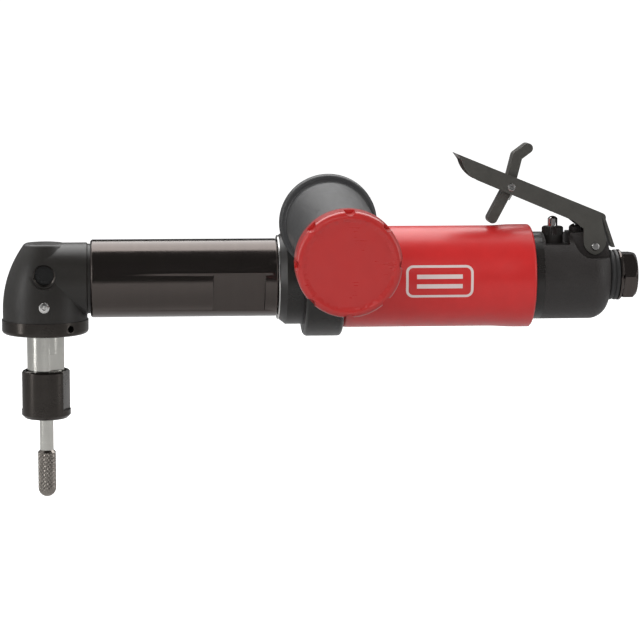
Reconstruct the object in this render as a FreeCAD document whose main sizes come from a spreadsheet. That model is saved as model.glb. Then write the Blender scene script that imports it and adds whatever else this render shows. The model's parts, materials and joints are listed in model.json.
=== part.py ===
import FreeCAD, Part
import math
import os
import re
import Sketcher

# Right-angle extended air die grinder. Millimetres. The origin is the centre of the air inlet's
# mouth, on the tool axis. The tool axis is X, with the air inlet at the +X end; Z is up, the burr
# hangs down at the -X end and the side handle points to -Y.

SIZES = {
    # air inlet
    "hex_across": 20.2, "hex_length": 6.5, "hex_chamfer": 2.0, "hex_edge": 0.4,
    "inlet_flange_radius": 11.8, "inlet_flange_length": 1.8,
    "inlet_flange_edge": 1.0,
    "inlet_bore_radius": 6.0, "inlet_bore_depth": 13.0, "inlet_throat_radius": 4.8,
    "seal_outer_radius": 11.7, "seal_inner_radius": 9.6, "seal_length": 5.1, "seal_groove": 0.7,
    "bushing_thread_radius": 9.0, "bushing_thread_length": 7.1,
    "screen_radius": 5.6, "screen_thickness": 1.0, "screen_hole_radius": 1.2, "screen_hole_circle": 3.6,
    "screen_holes": 6,
    # backhead
    "backhead_length": 32.0, "backhead_radius": 20.3, "backhead_face_radius": 11.4,
    "chamber_radius": 8.0, "chamber_length": 8.5, "passage_radius": 6.5,
    "spigot_length": 2.2, "motor_bore_radius": 18.2,
    "cap_floor_height": 15.3, "cap_floor_length": 12.5,
    "boss_rise": 0.1, "boss_foot_height": 8.9,
    "recess_length": 17.6, "recess_corner": 9.0,
    # throttle valve
    "seat_length": 2.5, "seat_hole_radius": 4.2,
    "valve_head_radius": 6.0, "valve_head_length": 1.5, "valve_head_edge": 0.4, "valve_stem_radius": 1.5,
    "valve_stem_length": 12.5, "valve_spring_wire": 0.8, "valve_spring_turns": 3, "valve_spring_radius": 4.6,
    "plunger_inset": 6.4, "plunger_radius": 2.3, "plunger_top_height": 27.7,
    "plunger_foot_radius": 1.2, "plunger_foot_height": 3.6, "plunger_step_height": 9.3,
    "plunger_dome": 1.2,
    "cap_radius": 5.0, "cap_height": 7.6, "cap_thread_radius": 3.9, "cap_thread_length": 7.0,
    "cap_edge": 0.6, "running_gap": 0.05,
    "regulator_radius": 2.8, "regulator_head_height": 3.7, "regulator_shank_radius": 2.0,
    "regulator_shank_length": 8.0, "regulator_place": 28.5, "regulator_slot": 0.9,
    "regulator_dome": 1.6, "regulator_end_gap": 0.5,
    # throttle lever, given from its pivot
    "pivot_place": 20.3, "pivot_drop": 6.35, "pivot_radius": 1.95,
    "lever_width": 18.0, "sheet_thickness": 1.5, "lever_side_gap": 0.2,
    "lever_tip_reach": 64.8, "lever_tip_height": 43.05,
    "lever_bend_back": 4.3, "lever_bend_height": 15.05,
    "flange_front_reach": 55.5, "flange_front_height": 30.95,
    "flange_rear_reach": 10.2, "flange_rear_height": 11.95,
    "ear_front": 5.7, "ear_rear": 5.0, "ear_drop": 3.8, "ear_shoulder_height": 3.0,
    "ear_roundness": 1.275, "ear_neck": 3.6,
    "lever_lip_length": 2.4, "lever_lip_drop": 3.4, "lever_tip_curve": 14.0, "bend_reach": 0.9,
    "tongue_width": 12.0, "tongue_back": 9.8, "tongue_drop": 0.55,
    "pad_gap": 2.4, "pad_length": 5.0, "pad_angle": 6.75,
    # lock-off lever, given from the lever's pivot
    "lock_reach": 39.6, "lock_height": 27.7, "lock_pin_radius": 1.5, "lock_pin_bore": 0.9,
    "lock_bar_radius": 2.3, "lock_spring_gap": 0.2, "lock_eye_radius": 3.4,
    "foot_reach": 7.8, "foot_drop": 14.8, "arm_rise": 14.0, "arm_back": 3.5,
    "hook_rise": 17.6, "hook_back": 8.3, "lock_slot_front": 4.2, "lock_slot_rear": 19.0,
    "lock_slot_width": 9.0,
    "lock_spring_wire": 0.9, "lock_spring_radius": 2.7, "lock_spring_pitch": 1.1, "lock_spring_turns": 2,
    "lock_spring_leg": 7.0,
    "lock_spring_tail": 4.2,
    "rivet_head_radius": 1.9, "rivet_head_height": 0.5, "rivet_edge": 0.3,
    # motor housing and sleeve
    "neck_length": 5.8, "under_sleeve_step": 0.3, "collar_step": 1.1,
    "sleeve_overlap": 1.4, "sleeve_length": 87.9, "sleeve_wall": 2.7, "sleeve_flare": 0.5,
    "sleeve_flare_length": 20.0, "sleeve_flare_flat": 8.0, "sleeve_edge": 1.3,
    "collar_length": 29.2, "collar_chamfer": 3.0, "collar_chamfer_angle": 38.7, "barrel_thread_length": 16.0,
    # air motor
    "muffler_length": 6.4, "muffler_bore_radius": 12.0, "plate_length": 8.0,
    "rotor_bearing_radius": 8.0, "rotor_bearing_length": 6.0, "plate_hole_radius": 5.5,
    "bearing_shield_inset": 0.5,
    "cylinder_length": 60.0, "cylinder_bore_radius": 15.8, "cylinder_offset": 1.6,
    "rotor_radius": 14.1, "rotor_end_gap": 0.2, "shaft_radius": 4.0, "shaft_stub": 14.0, "shaft_end_gap": 0.5,
    "vane_thickness": 1.6, "vane_depth": 6.5, "vane_count": 5,
    "coupling_radius": 7.0, "coupling_length": 16.0, "coupling_gap": 1.0,
    # extension barrel
    "ring_length": 0.7, "ring_radius": 19.4,
    "barrel_length": 85.5, "barrel_radius": 17.9, "barrel_bore_radius": 13.0,
    "barrel_thread_radius": 14.5, "barrel_edge": 0.8, "barrel_throat_radius": 11.0, "barrel_shoulder": 2.0,
    "flat_start": 6.2, "flat_length": 23.7, "flat_depth": 2.6, "flat_tilt": 20.0,
    "barrel_bearing_length": 7.0, "barrel_bearing_inset": 30.0,
    # angle head, given from where the spindle crosses the tool axis
    "groove_length": 1.25, "groove_radius": 16.0, "head_reach": 19.6,
    "head_barrel_radius": 16.6, "head_barrel_edge": 0.5,
    "head_top_height": 16.4, "head_top_radius": 8.6, "head_top_edge": 1.6,
    "head_curve": 50.6, "head_curve_drop": 14.0, "head_radius": 19.3, "head_drop": 18.5,
    "head_spigot_length": 10.0, "shaft_room": 2.0,
    "gear_room_radius": 11.6, "gear_room_top": 8.6, "gear_room_bottom": 12.5,
    "upper_bearing_radius": 6.5, "upper_bearing_length": 4.0, "upper_shaft_radius": 3.0,
    "lower_bearing_radius": 15.0, "lower_bearing_shaft": 7.0,
    "pinion_bearing_radius": 11.0, "pinion_bearing_length": 7.0, "pinion_room": 1.0,
    "port_height": 2.9, "port_radius": 5.0, "port_chamfer_radius": 6.0, "port_floor": 12.6,
    "port_mouth": 15.5,
    "fitting_radius": 2.4, "fitting_drop": 11.2, "fitting_inset": 3.0, "fitting_dimple": 0.8,
    "fitting_crown": 0.5, "fitting_crown_radius": 1.45,
    "cap_ring_radius": 19.8, "cap_ring_length": 6.4, "cap_ring_edge": 1.8,
    "cap_ring_hole_radius": 1.65, "cap_ring_holes": 2, "cap_ring_hole_drop": 2.9,
    "cap_ring_hole_depth": 4.0, "cap_ring_hole_turn": 37.0,
    # bevel gears
    "gear_teeth": 15, "gear_pitch_radius": 9.375, "gear_face": 3.0, "gear_tip_slope": 1.14,
    "gear_root_slope": 0.82, "tooth_root_share": 0.125, "tooth_root_sink": 0.03, "gear_hub_taper": 1.0,
    "tooth_tip_share": 0.028,
    "gear_hub_length": 2.2, "gear_back": 1.2,
    # spindle, collet, nut and burr
    "spindle_radius": 8.5, "spindle_drop": 42.0, "spindle_flat_drop": 34.0,
    "spindle_flat_depth": 1.4, "spindle_thread_radius": 7.9, "spindle_thread_length": 13.0,
    "spindle_bore_radius": 3.4, "spindle_bore_length": 27.0, "spindle_top_gap": 0.6,
    "spindle_flat_turn": 44.4,
    "taper_large_radius": 6.3, "taper_small_radius": 4.7, "taper_length": 12.0,
    "collet_nose_length": 2.0, "collet_nose_radius": 5.1, "collet_edge": 0.6,
    "collet_gap": 0.03, "collet_slit": 0.7, "collet_slits": 3, "collet_uncut": 3.0,
    "nut_radius": 11.3, "nut_length": 22.2, "nut_flat_depth": 1.5, "nut_plain_length": 4.0,
    "nut_edge": 0.8, "nut_mouth_radius": 5.4, "nut_mouth_length": 3.6, "nut_mouth_lip": 0.7,
    "nut_rim_radius": 9.2,
    "nut_rim_depth": 2.0, "nut_flat_turn": 15.0,
    "burr_shank_radius": 3.175, "burr_shank_drop": 79.3, "burr_shank_length": 36.0, "burr_shank_edge": 0.4,
    "burr_radius": 4.25, "burr_length": 22.0, "burr_neck": 1.2,
    # side handle, given from the tool axis
    "clamp_gap": 0.3, "clamp_width": 17.8, "clamp_radius": 27.3, "clamp_edge": 2.0,
    "clamp_tilt": 5.0, "stud_height": 31.1, "stud_radius": 5.0, "lug_half": 19.0,
    "lug_top": 39.3, "lug_corner": 4.0, "lug_overlap": 7.8, "lug_inset": 0.6, "clamp_slit": 2.4,
    "clamp_nut_across": 16.0, "clamp_nut_length": 7.0, "stud_tail": 9.0, "stud_reach": 70.0, "stud_edge": 0.9,
    "hub_radius": 9.5, "hub_gap": 0.3, "guard_start": 28.5, "guard_length": 6.0,
    "guard_radius": 21.9, "guard_edge": 1.8,
    "grip_radius": 19.0, "grip_end": 119.0, "stud_bore_spare": 4.0, "air_hole_radius": 3.0,
    "end_cap_length": 12.0, "end_cap_radius": 22.1, "end_cap_edge": 2.6, "end_cap_back_edge": 2.0,
    "end_cap_dish_radius": 19.4, "end_cap_dish_depth": 1.0, "end_cap_spigot_radius": 12.0,
    "end_cap_spigot_length": 8.0, "end_cap_notch_radius": 2.4, "end_cap_notches": 8,
    "end_cap_notch_length": 7.0, "end_cap_notch_circle": 22.9,
}

doc = FreeCAD.newDocument("die_grinder")
sheet = doc.addObject("Spreadsheet::Sheet", "dims")
for row, (alias, size) in enumerate(SIZES.items(), 1):
    sheet.set(f"A{row}", alias)
    sheet.set(f"B{row}", str(size))
    sheet.setAlias(f"B{row}", alias)
doc.recompute()

SUB_PARTS = []
OVERCUT = "1"    # how far a cut runs on past the face that it opens


# ---- helpers -------------------------------------------------------------------------------

def from_sheet(expression):
    """The expression with each size's name pointing at the sheet."""
    return re.sub(r"[a-z_]+\b(?!\()", lambda word: "dims." + word.group(0), expression)


def value(expression):
    return float(sheet.evalExpression(expression))


def total(*terms):
    return "(" + "+".join(terms) + ")"


def less(start, *terms):
    return "(" + start + "".join("-(" + term + ")" for term in terms) + ")"


def bind(thing, field, expression):
    thing.setExpression(field, from_sheet(expression))


def new_body(label):
    body = doc.addObject("PartDesign::Body", label)
    body.Label = label
    SUB_PARTS.append(body)
    return body


def place(thing, along="0", across="0", up="0", axis=(0, 0, 1), angle="0"):
    """Put a finished sub-part in the tool's frame."""
    turn = FreeCAD.Rotation(FreeCAD.Vector(*axis), value(angle))
    here = FreeCAD.Vector(value(along), value(across), value(up))
    thing.Placement = FreeCAD.Placement(here, turn)
    bind(thing, "Placement.Base.x", along)
    bind(thing, "Placement.Base.y", across)
    bind(thing, "Placement.Base.z", up)
    if angle != "0":
        bind(thing, "Placement.Rotation.Angle", angle)


def new_sketch(body, plane, lift=None):
    sketch = body.newObject("Sketcher::SketchObject", body.Label + "_sketch")
    origin_plane = [item for item in body.Origin.OriginFeatures if item.Role == plane][0]
    sketch.AttachmentSupport = [(origin_plane, "")]
    sketch.MapMode = "FlatFace"
    if lift:
        sketch.AttachmentOffset = FreeCAD.Placement(
            FreeCAD.Vector(0, 0, value(lift)), FreeCAD.Rotation())
        bind(sketch, "AttachmentOffset.Base.z", lift)
    return sketch


def pin_down(sketch, geometry, end, across, up):
    """Fix one end of a sketch line by its two distances from the origin."""
    for kind, expression in (("DistanceX", across), ("DistanceY", up)):
        rule = Sketcher.Constraint(kind, -1, 1, geometry, end, value(expression))
        number = sketch.addConstraint(rule)
        bind(sketch, f"Constraints[{number}]", expression)


def arc_between(start, end, radius, centre_left):
    """A circular arc from start to end, with its centre left or right of the way it runs."""
    chord = end - start
    middle = (start + end) * 0.5
    sideways = FreeCAD.Vector(-chord.y, chord.x, 0).normalize()
    depth = math.sqrt(max(radius ** 2 - (chord.Length / 2) ** 2, 0.0))
    centre = middle + sideways * (depth if centre_left else -depth)
    first, last = (start, end) if centre_left else (end, start)
    begin = math.atan2(first.y - centre.y, first.x - centre.x)
    finish = math.atan2(last.y - centre.y, last.x - centre.x)
    if finish < begin:
        finish += 2 * math.pi
    circle = Part.Circle(centre, FreeCAD.Vector(0, 0, 1), radius)
    return Part.ArcOfCircle(circle, begin, finish)


def outline(body, plane, points, lift=None):
    """A closed outline. A point is (across, up), or (across, up, radius, side) when an arc of
    that radius leads to it, with its centre to the left or right of the way the outline runs."""
    sketch = new_sketch(body, plane, lift)
    spots = [FreeCAD.Vector(value(point[0]), value(point[1]), 0) for point in points]
    ends = []
    for number, point in enumerate(points):
        start = spots[number - 1]
        if len(point) == 2:
            sketch.addGeometry(Part.LineSegment(start, spots[number]))
            ends.append((1, 2))
        else:
            left = point[3] == "left"
            sketch.addGeometry(arc_between(start, spots[number], value(point[2]), left))
            ends.append((1, 2) if left else (2, 1))
    for number in range(len(points)):
        follower = (number + 1) % len(points)
        sketch.addConstraint(Sketcher.Constraint(
            "Coincident", number, ends[number][1], follower, ends[follower][0]))
    for number, point in enumerate(points):
        pin_down(sketch, number, ends[number][1], point[0], point[1])
        if len(point) > 2:
            rule = sketch.addConstraint(Sketcher.Constraint("Radius", number, value(point[2])))
            bind(sketch, f"Constraints[{rule}]", point[2])
    return sketch


def round_outline(body, plane, across, up, radius, lift=None):
    sketch = new_sketch(body, plane, lift)
    centre = FreeCAD.Vector(value(across), value(up), 0)
    sketch.addGeometry(Part.Circle(centre, FreeCAD.Vector(0, 0, 1), value(radius)))
    pin_down(sketch, 0, 3, across, up)
    rule = sketch.addConstraint(Sketcher.Constraint("Radius", 0, value(radius)))
    bind(sketch, f"Constraints[{rule}]", radius)
    return sketch


def feature(body, kind, sketch):
    made = body.newObject("PartDesign::" + kind, body.Label + "_" + kind.lower())
    made.Profile = sketch
    sketch.Visibility = False
    return made


def turned(body, points, about="H_Axis", plane="XZ_Plane", cut=False):
    """A solid turned about one of the sketch's own axes, or the same shape bored out."""
    sketch = outline(body, plane, points)
    made = feature(body, "Groove" if cut else "Revolution", sketch)
    made.ReferenceAxis = (sketch, [about])
    made.Angle = 360
    return made


def padded(body, sketch, width):
    """Material of this width, half of it on each side of the sketch."""
    made = feature(body, "Pad", sketch)
    made.SideType = "Symmetric"
    bind(made, "Length", width)
    return made


def pocketed(body, sketch, width):
    made = feature(body, "Pocket", sketch)
    made.SideType = "Symmetric"
    bind(made, "Length", width)
    return made


def one_way(body, kind, sketch, length, reverse=False):
    made = feature(body, kind, sketch)
    made.Reversed = reverse
    bind(made, "Length", length)
    return made


def around(body, original, axis, count):
    """Repeat a feature round one of the body's own axes."""
    pattern = body.newObject("PartDesign::PolarPattern", body.Label + "_pattern")
    pattern.Originals = [original]
    pattern.Axis = ([item for item in body.Origin.OriginFeatures if item.Role == axis][0], [""])
    pattern.Angle = 360
    bind(pattern, "Occurrences", count)
    body.Tip = pattern
    return pattern


def ring_points(start, end, inner, outer):
    return [(start, inner), (start, outer), (end, outer), (end, inner)]


def hexagon_points(across):
    corner = f"({across})/sqrt(3)"
    return [(f"{corner}*cos({60 * side})", f"{corner}*sin({60 * side})") for side in range(6)]


# ---- stations along the tool axis ------------------------------------------------------------

FLANGE_REAR = "(-hex_length)"
SEAL_REAR = less(FLANGE_REAR, "inlet_flange_length")
BACKHEAD_REAR = less(SEAL_REAR, "seal_length")
BUSHING_END = less(BACKHEAD_REAR, "bushing_thread_length")
SEAT_REAR = less(BUSHING_END, "chamber_length")
SEAT_FRONT = less(SEAT_REAR, "seat_length")
HOUSING_REAR = less(BACKHEAD_REAR, "backhead_length")
PLUNGER_X = total(HOUSING_REAR, "plunger_inset")
CAP_FLOOR_REAR = total(HOUSING_REAR, "cap_floor_length")
PIVOT_X = "(-pivot_place)"
PIVOT_HEIGHT = less("backhead_radius", "pivot_drop")
BOSS_HEIGHT = total("backhead_radius", "boss_rise")
UNDER_SLEEVE = total("backhead_radius", "under_sleeve_step")
SLEEVE_RADIUS = total(UNDER_SLEEVE, "sleeve_wall")
COLLAR_RADIUS = total(UNDER_SLEEVE, "collar_step")
SPRING_SPACE = "(lock_spring_wire+lock_spring_pitch*lock_spring_turns+lock_spring_gap)"
LOCK_BAR_WIDTH = f"(2*(lever_width/2-sheet_thickness-lever_side_gap-{SPRING_SPACE}))"
NECK_FRONT = less(HOUSING_REAR, "neck_length")
SLEEVE_REAR = total(NECK_FRONT, "sleeve_overlap")
SLEEVE_FRONT = less(SLEEVE_REAR, "sleeve_length")
COLLAR_FRONT = less(SLEEVE_FRONT, "collar_length")
CLAMP_MIDDLE = less(SLEEVE_FRONT, "clamp_gap", "clamp_width/2")
MUFFLER_REAR = less(HOUSING_REAR, "spigot_length")
REAR_PLATE_REAR = less(MUFFLER_REAR, "muffler_length")
CYLINDER_REAR = less(REAR_PLATE_REAR, "plate_length")
CYLINDER_FRONT = less(CYLINDER_REAR, "cylinder_length")
FRONT_PLATE_FRONT = less(CYLINDER_FRONT, "plate_length")
ROTOR_TAIL = total(CYLINDER_REAR, "shaft_stub")
ROTOR_NOSE = less(CYLINDER_FRONT, "shaft_stub")
COUPLING_REAR = less(FRONT_PLATE_FRONT, "coupling_gap")
COUPLING_FRONT = less(COUPLING_REAR, "coupling_length")
BARREL_REAR = less(COLLAR_FRONT, "ring_length")
BARREL_TAIL = total(COLLAR_FRONT, "barrel_thread_length")
BARREL_FRONT = less(BARREL_REAR, "barrel_length")
BARREL_SHOULDER = less(BARREL_REAR, "barrel_shoulder")
HEAD_REAR = less(BARREL_FRONT, "groove_length")
SPINDLE_X = less(HEAD_REAR, "head_reach")
PINION_FACE = total(SPINDLE_X, "gear_pitch_radius", "gear_back", "gear_hub_length")
PINION_BEARING_FRONT = total(PINION_FACE, "pinion_room")
PINION_BEARING_REAR = total(PINION_BEARING_FRONT, "pinion_bearing_length")
GUARD_END = total("guard_start", "guard_length")
CAP_RING_BOTTOM = "(-head_drop-cap_ring_length)"
NUT_BOTTOM = "(-spindle_drop-nut_length)"
THREAD_BOTTOM = "(-spindle_drop-spindle_thread_length)"


# ---- air inlet -------------------------------------------------------------------------------

def make_inlet_bushing():
    body = new_body("inlet_bushing")
    one_way(body, "Pad", outline(body, "YZ_Plane", hexagon_points("hex_across")),
            "hex_length", reverse=True)
    turned(body, [
        (FLANGE_REAR, "seal_inner_radius/2"),
        (FLANGE_REAR, less("inlet_flange_radius", "inlet_flange_edge")),
        (less(FLANGE_REAR, "inlet_flange_edge"), "inlet_flange_radius"),
        (SEAL_REAR, "inlet_flange_radius"), (SEAL_REAR, "seal_inner_radius"),
        (BACKHEAD_REAR, "seal_inner_radius"), (BACKHEAD_REAR, "bushing_thread_radius"),
        (BUSHING_END, "bushing_thread_radius"), (BUSHING_END, "seal_inner_radius/2")])
    turned(body, [
        ("hex_chamfer", "0"), ("hex_chamfer", "inlet_bore_radius"),
        ("-inlet_bore_depth", "inlet_bore_radius"), ("-inlet_bore_depth", "screen_radius"),
        ("-inlet_bore_depth-screen_thickness", "screen_radius"),
        ("-inlet_bore_depth-screen_thickness", "inlet_throat_radius"),
        (less(BUSHING_END, OVERCUT), "inlet_throat_radius"), (less(BUSHING_END, OVERCUT), "0")], cut=True)
    turned(body, [
        ("0", "hex_across/2-hex_edge"), ("0", "hex_across"),
        ("-hex_chamfer", "hex_across"), ("-hex_chamfer", "hex_across/sqrt(3)")], cut=True)


def make_inlet_seal():
    body = new_body("inlet_seal")
    middle = less(SEAL_REAR, "seal_length/2")
    groove_floor = less("seal_outer_radius", "seal_groove")
    turned(body, [
        (SEAL_REAR, "seal_inner_radius"), (SEAL_REAR, groove_floor),
        (less(SEAL_REAR, "seal_groove"), "seal_outer_radius"),
        (total(middle, "seal_groove"), "seal_outer_radius"), (middle, groove_floor),
        (less(middle, "seal_groove"), "seal_outer_radius"),
        (total(BACKHEAD_REAR, "seal_groove"), "seal_outer_radius"),
        (BACKHEAD_REAR, groove_floor), (BACKHEAD_REAR, "seal_inner_radius")])


def make_inlet_screen():
    body = new_body("inlet_screen")
    turned(body, ring_points("-inlet_bore_depth-screen_thickness", "-inlet_bore_depth",
                             "0", "screen_radius"))
    hole = pocketed(body, round_outline(body, "YZ_Plane", "screen_hole_circle", "0",
                                        "screen_hole_radius"), "4*inlet_bore_depth")
    around(body, hole, "X_Axis", "screen_holes")


# ---- backhead and throttle valve -------------------------------------------------------------

def make_backhead():
    body = new_body("backhead")
    spigot_end = less(HOUSING_REAR, "spigot_length")
    dome_start = less(BACKHEAD_REAR, "backhead_radius-backhead_face_radius")
    turned(body, [
        (spigot_end, "0"), (spigot_end, "motor_bore_radius"),
        (HOUSING_REAR, "motor_bore_radius"), (HOUSING_REAR, "backhead_radius"),
        (dome_start, "backhead_radius"),
        (BACKHEAD_REAR, "backhead_face_radius", "backhead_radius-backhead_face_radius", "right"),
        (BACKHEAD_REAR, "0")])
    recess_front = less(BACKHEAD_REAR, "recess_length")
    pocketed(body, outline(body, "XZ_Plane", [
        (total(BACKHEAD_REAR, OVERCUT), "boss_foot_height"),
        (total(BACKHEAD_REAR, OVERCUT), "2*backhead_radius"), (recess_front, "2*backhead_radius"),
        (recess_front, "boss_foot_height+recess_corner"),
        (total(recess_front, "recess_corner"), "boss_foot_height", "recess_corner", "left")]),
        "3*backhead_radius")
    boss_round = less(BOSS_HEIGHT, "backhead_face_radius")
    padded(body, outline(body, "XZ_Plane", [
        (less(recess_front, OVERCUT), "0"), (less(recess_front, OVERCUT), BOSS_HEIGHT),
        (less(BACKHEAD_REAR, boss_round), BOSS_HEIGHT),
        (BACKHEAD_REAR, "backhead_face_radius", boss_round, "right"), (BACKHEAD_REAR, "0")]),
        "lever_width-2*sheet_thickness-2*lever_side_gap")
    turned(body, [
        (less(spigot_end, OVERCUT), "0"), (less(spigot_end, OVERCUT), "passage_radius"),
        (SEAT_FRONT, "passage_radius"), (SEAT_FRONT, "chamber_radius"),
        (BUSHING_END, "chamber_radius"), (BUSHING_END, "bushing_thread_radius"),
        (total(BACKHEAD_REAR, OVERCUT), "bushing_thread_radius"), (total(BACKHEAD_REAR, OVERCUT), "0")],
        cut=True)
    pocketed(body, outline(body, "XZ_Plane", cap_notch_points()), "3*backhead_radius")
    one_way(body, "Pocket", round_outline(body, "XY_Plane", PLUNGER_X, "0", "cap_thread_radius"),
            "backhead_radius", reverse=True)
    one_way(body, "Pocket", round_outline(
        body, "XY_Plane", "-regulator_place", "0", "regulator_shank_radius+running_gap",
        lift=less(BOSS_HEIGHT, "regulator_shank_length")),
        total("regulator_shank_length", OVERCUT), reverse=True)
    pocketed(body, round_outline(body, "XZ_Plane", PIVOT_X, PIVOT_HEIGHT, "pivot_radius"),
             "2*backhead_radius")


def cap_notch_points():
    """The flat cut across the top where the valve cap stands, seen from the side."""
    front = less(PLUNGER_X, "cap_radius+2*running_gap")
    return [(front, "cap_floor_height"), (CAP_FLOOR_REAR, "cap_floor_height"),
            (CAP_FLOOR_REAR, "2*backhead_radius"), (front, "2*backhead_radius")]


def make_valve_seat():
    body = new_body("valve_seat")
    turned(body, ring_points(SEAT_FRONT, SEAT_REAR, "seat_hole_radius", "chamber_radius"))


def make_throttle_valve():
    body = new_body("throttle_valve")
    stem_end = less(SEAT_REAR, "valve_stem_length")
    head_rear = total(SEAT_REAR, "valve_head_length")
    turned(body, [
        (stem_end, "0"), (stem_end, "valve_stem_radius"), (SEAT_REAR, "valve_stem_radius"),
        (SEAT_REAR, "valve_head_radius"), (head_rear, "valve_head_radius-valve_head_edge"), (head_rear, "0")])


def make_valve_spring():
    """A helical spring between the bushing's end and the head of the valve."""
    body = new_body("valve_spring")
    free_length = "(chamber_length-valve_head_length-valve_spring_wire-2*running_gap)"
    profile = round_outline(body, "XZ_Plane", "valve_spring_radius", "0", "valve_spring_wire/2")
    coil = body.newObject("PartDesign::AdditiveHelix", "valve_spring_coil")
    coil.Profile = profile
    coil.ReferenceAxis = (profile, ["V_Axis"])
    coil.Mode = "pitch-height-angle"
    coil.Pitch = value(free_length + "/valve_spring_turns")
    coil.Height = value(free_length)
    bind(coil, "Pitch", free_length + "/valve_spring_turns")
    bind(coil, "Height", free_length)
    place(body, along=less(BUSHING_END, "valve_spring_wire/2+running_gap"), axis=(0, 1, 0), angle="-90")


def make_throttle_plunger():
    body = new_body("throttle_plunger")
    turned(body, [
        ("0", "plunger_foot_height"), ("plunger_foot_radius", "plunger_foot_height"),
        ("plunger_foot_radius", "plunger_step_height"), ("plunger_radius", "plunger_step_height"),
        ("plunger_radius", "plunger_top_height-plunger_dome"),
        ("0", "plunger_top_height", "(plunger_radius^2+plunger_dome^2)/(2*plunger_dome)", "left")],
        about="V_Axis")
    place(body, along=PLUNGER_X)


def make_valve_cap():
    body = new_body("valve_cap")
    top = total("cap_floor_height", "cap_height")
    bottom = less("cap_floor_height", "cap_thread_length")
    bore = "plunger_radius+running_gap"
    turned(body, [
        (bore, bottom), ("cap_thread_radius", bottom), ("cap_thread_radius", "cap_floor_height"),
        ("cap_radius", "cap_floor_height"), ("cap_radius", less(top, "cap_edge")),
        ("cap_radius-cap_edge", top), (bore, top)], about="V_Axis")
    place(body, along=PLUNGER_X)


def make_regulator_screw():
    body = new_body("regulator_screw")
    top = total(BOSS_HEIGHT, "regulator_head_height")
    shank_end = less(BOSS_HEIGHT, "regulator_shank_length-regulator_end_gap")
    turned(body, [
        ("0", shank_end), ("regulator_shank_radius", shank_end),
        ("regulator_shank_radius", BOSS_HEIGHT), ("regulator_radius", BOSS_HEIGHT),
        ("regulator_radius", less(top, "regulator_dome")),
        ("0", top, "(regulator_radius^2+regulator_dome^2)/(2*regulator_dome)", "left")],
        about="V_Axis")
    pocketed(body, outline(body, "XZ_Plane", [
        ("-regulator_slot/2", less(top, "regulator_slot")),
        ("regulator_slot/2", less(top, "regulator_slot")),
        ("regulator_slot/2", total(top, OVERCUT)), ("-regulator_slot/2", total(top, OVERCUT))]),
        "3*regulator_radius")
    place(body, along="-regulator_place")


# ---- throttle lever and lock-off lever, modelled about the lever's pivot ----------------------

LEVER_SLOPE = "((lever_tip_height-lever_bend_height)/(lever_tip_reach+lever_bend_back))"
SHEET_DROP = f"(sheet_thickness*sqrt(1+{LEVER_SLOPE}^2))"


def lever_top(along):
    """Height of the lever's top face at a place along it, from the pivot."""
    return f"(lever_tip_height-{LEVER_SLOPE}*(lever_tip_reach+({along})))"


def place_at_pivot(body):
    place(body, along=PIVOT_X, up=PIVOT_HEIGHT)


def make_throttle_lever():
    body = new_body("throttle_lever")
    flange_end = "(lever_bend_back-sheet_thickness*1.5)"
    tip = less("-lever_tip_reach", OVERCUT)
    tail = total("tongue_back", OVERCUT)
    ear_arc = "(ear_front+ear_rear)/2*ear_roundness"
    padded(body, outline(body, "XZ_Plane", [
        ("-lever_tip_reach", "lever_tip_height"),
        ("-lever_tip_reach+lever_lip_length", "lever_tip_height-lever_lip_drop"),
        ("-flange_front_reach", "flange_front_height", "lever_tip_curve", "left"),
        ("-flange_rear_reach", "flange_rear_height"),
        ("-ear_front", "flange_rear_height-ear_neck"), ("-ear_front", "ear_shoulder_height"),
        ("0", "-ear_drop", ear_arc, "left"), ("ear_rear", "ear_shoulder_height", ear_arc, "left"),
        (flange_end, lever_top(flange_end))]), "lever_width")
    pocketed(body, outline(body, "XZ_Plane", [
        (tip, f"{lever_top(tip)}-{SHEET_DROP}"), (tip, "-lever_tip_height"),
        (tail, "-lever_tip_height"), (tail, f"{lever_top(tail)}-{SHEET_DROP}")]),
        "lever_width-2*sheet_thickness")
    tongue_slope = "(lever_bend_height+tongue_drop)/(tongue_back-lever_bend_back)"
    tongue_skin = f"(sheet_thickness*sqrt(1+1/({tongue_slope})^2))"
    root = "(lever_bend_back-2.4*sheet_thickness)"
    before_bend = "(lever_bend_back-bend_reach)"
    after_bend = "(lever_bend_back+bend_reach)"
    after_height = f"(lever_bend_height-bend_reach*{tongue_slope})"
    padded(body, outline(body, "XZ_Plane", [
        (root, lever_top(root)), (before_bend, lever_top(before_bend)),
        (after_bend, after_height, "1.6*sheet_thickness", "right"),
        ("tongue_back", "-tongue_drop"), (f"tongue_back-{tongue_skin}", "-tongue_drop"),
        (f"{after_bend}-{tongue_skin}", after_height),
        (root, f"{lever_top(root)}-{SHEET_DROP}")]),
        "tongue_width")
    make_lever_pad(body)
    lock_x = "-lock_reach"
    slot = outline(body, "XY_Plane", [
        (f"{lock_x}-lock_slot_front", "-lock_slot_width/2"),
        (f"{lock_x}+lock_slot_rear", "-lock_slot_width/2"),
        (f"{lock_x}+lock_slot_rear", "lock_slot_width/2"),
        (f"{lock_x}-lock_slot_front", "lock_slot_width/2")])
    one_way(body, "Pocket", slot, "2*lever_tip_height", reverse=True)
    pocketed(body, round_outline(body, "XZ_Plane", "0", "0", "pivot_radius+running_gap"),
             "2*lever_width")
    pocketed(body, round_outline(body, "XZ_Plane", "-lock_reach", "lock_height",
                                 "lock_pin_radius"), "2*lever_width")
    place_at_pivot(body)


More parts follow.
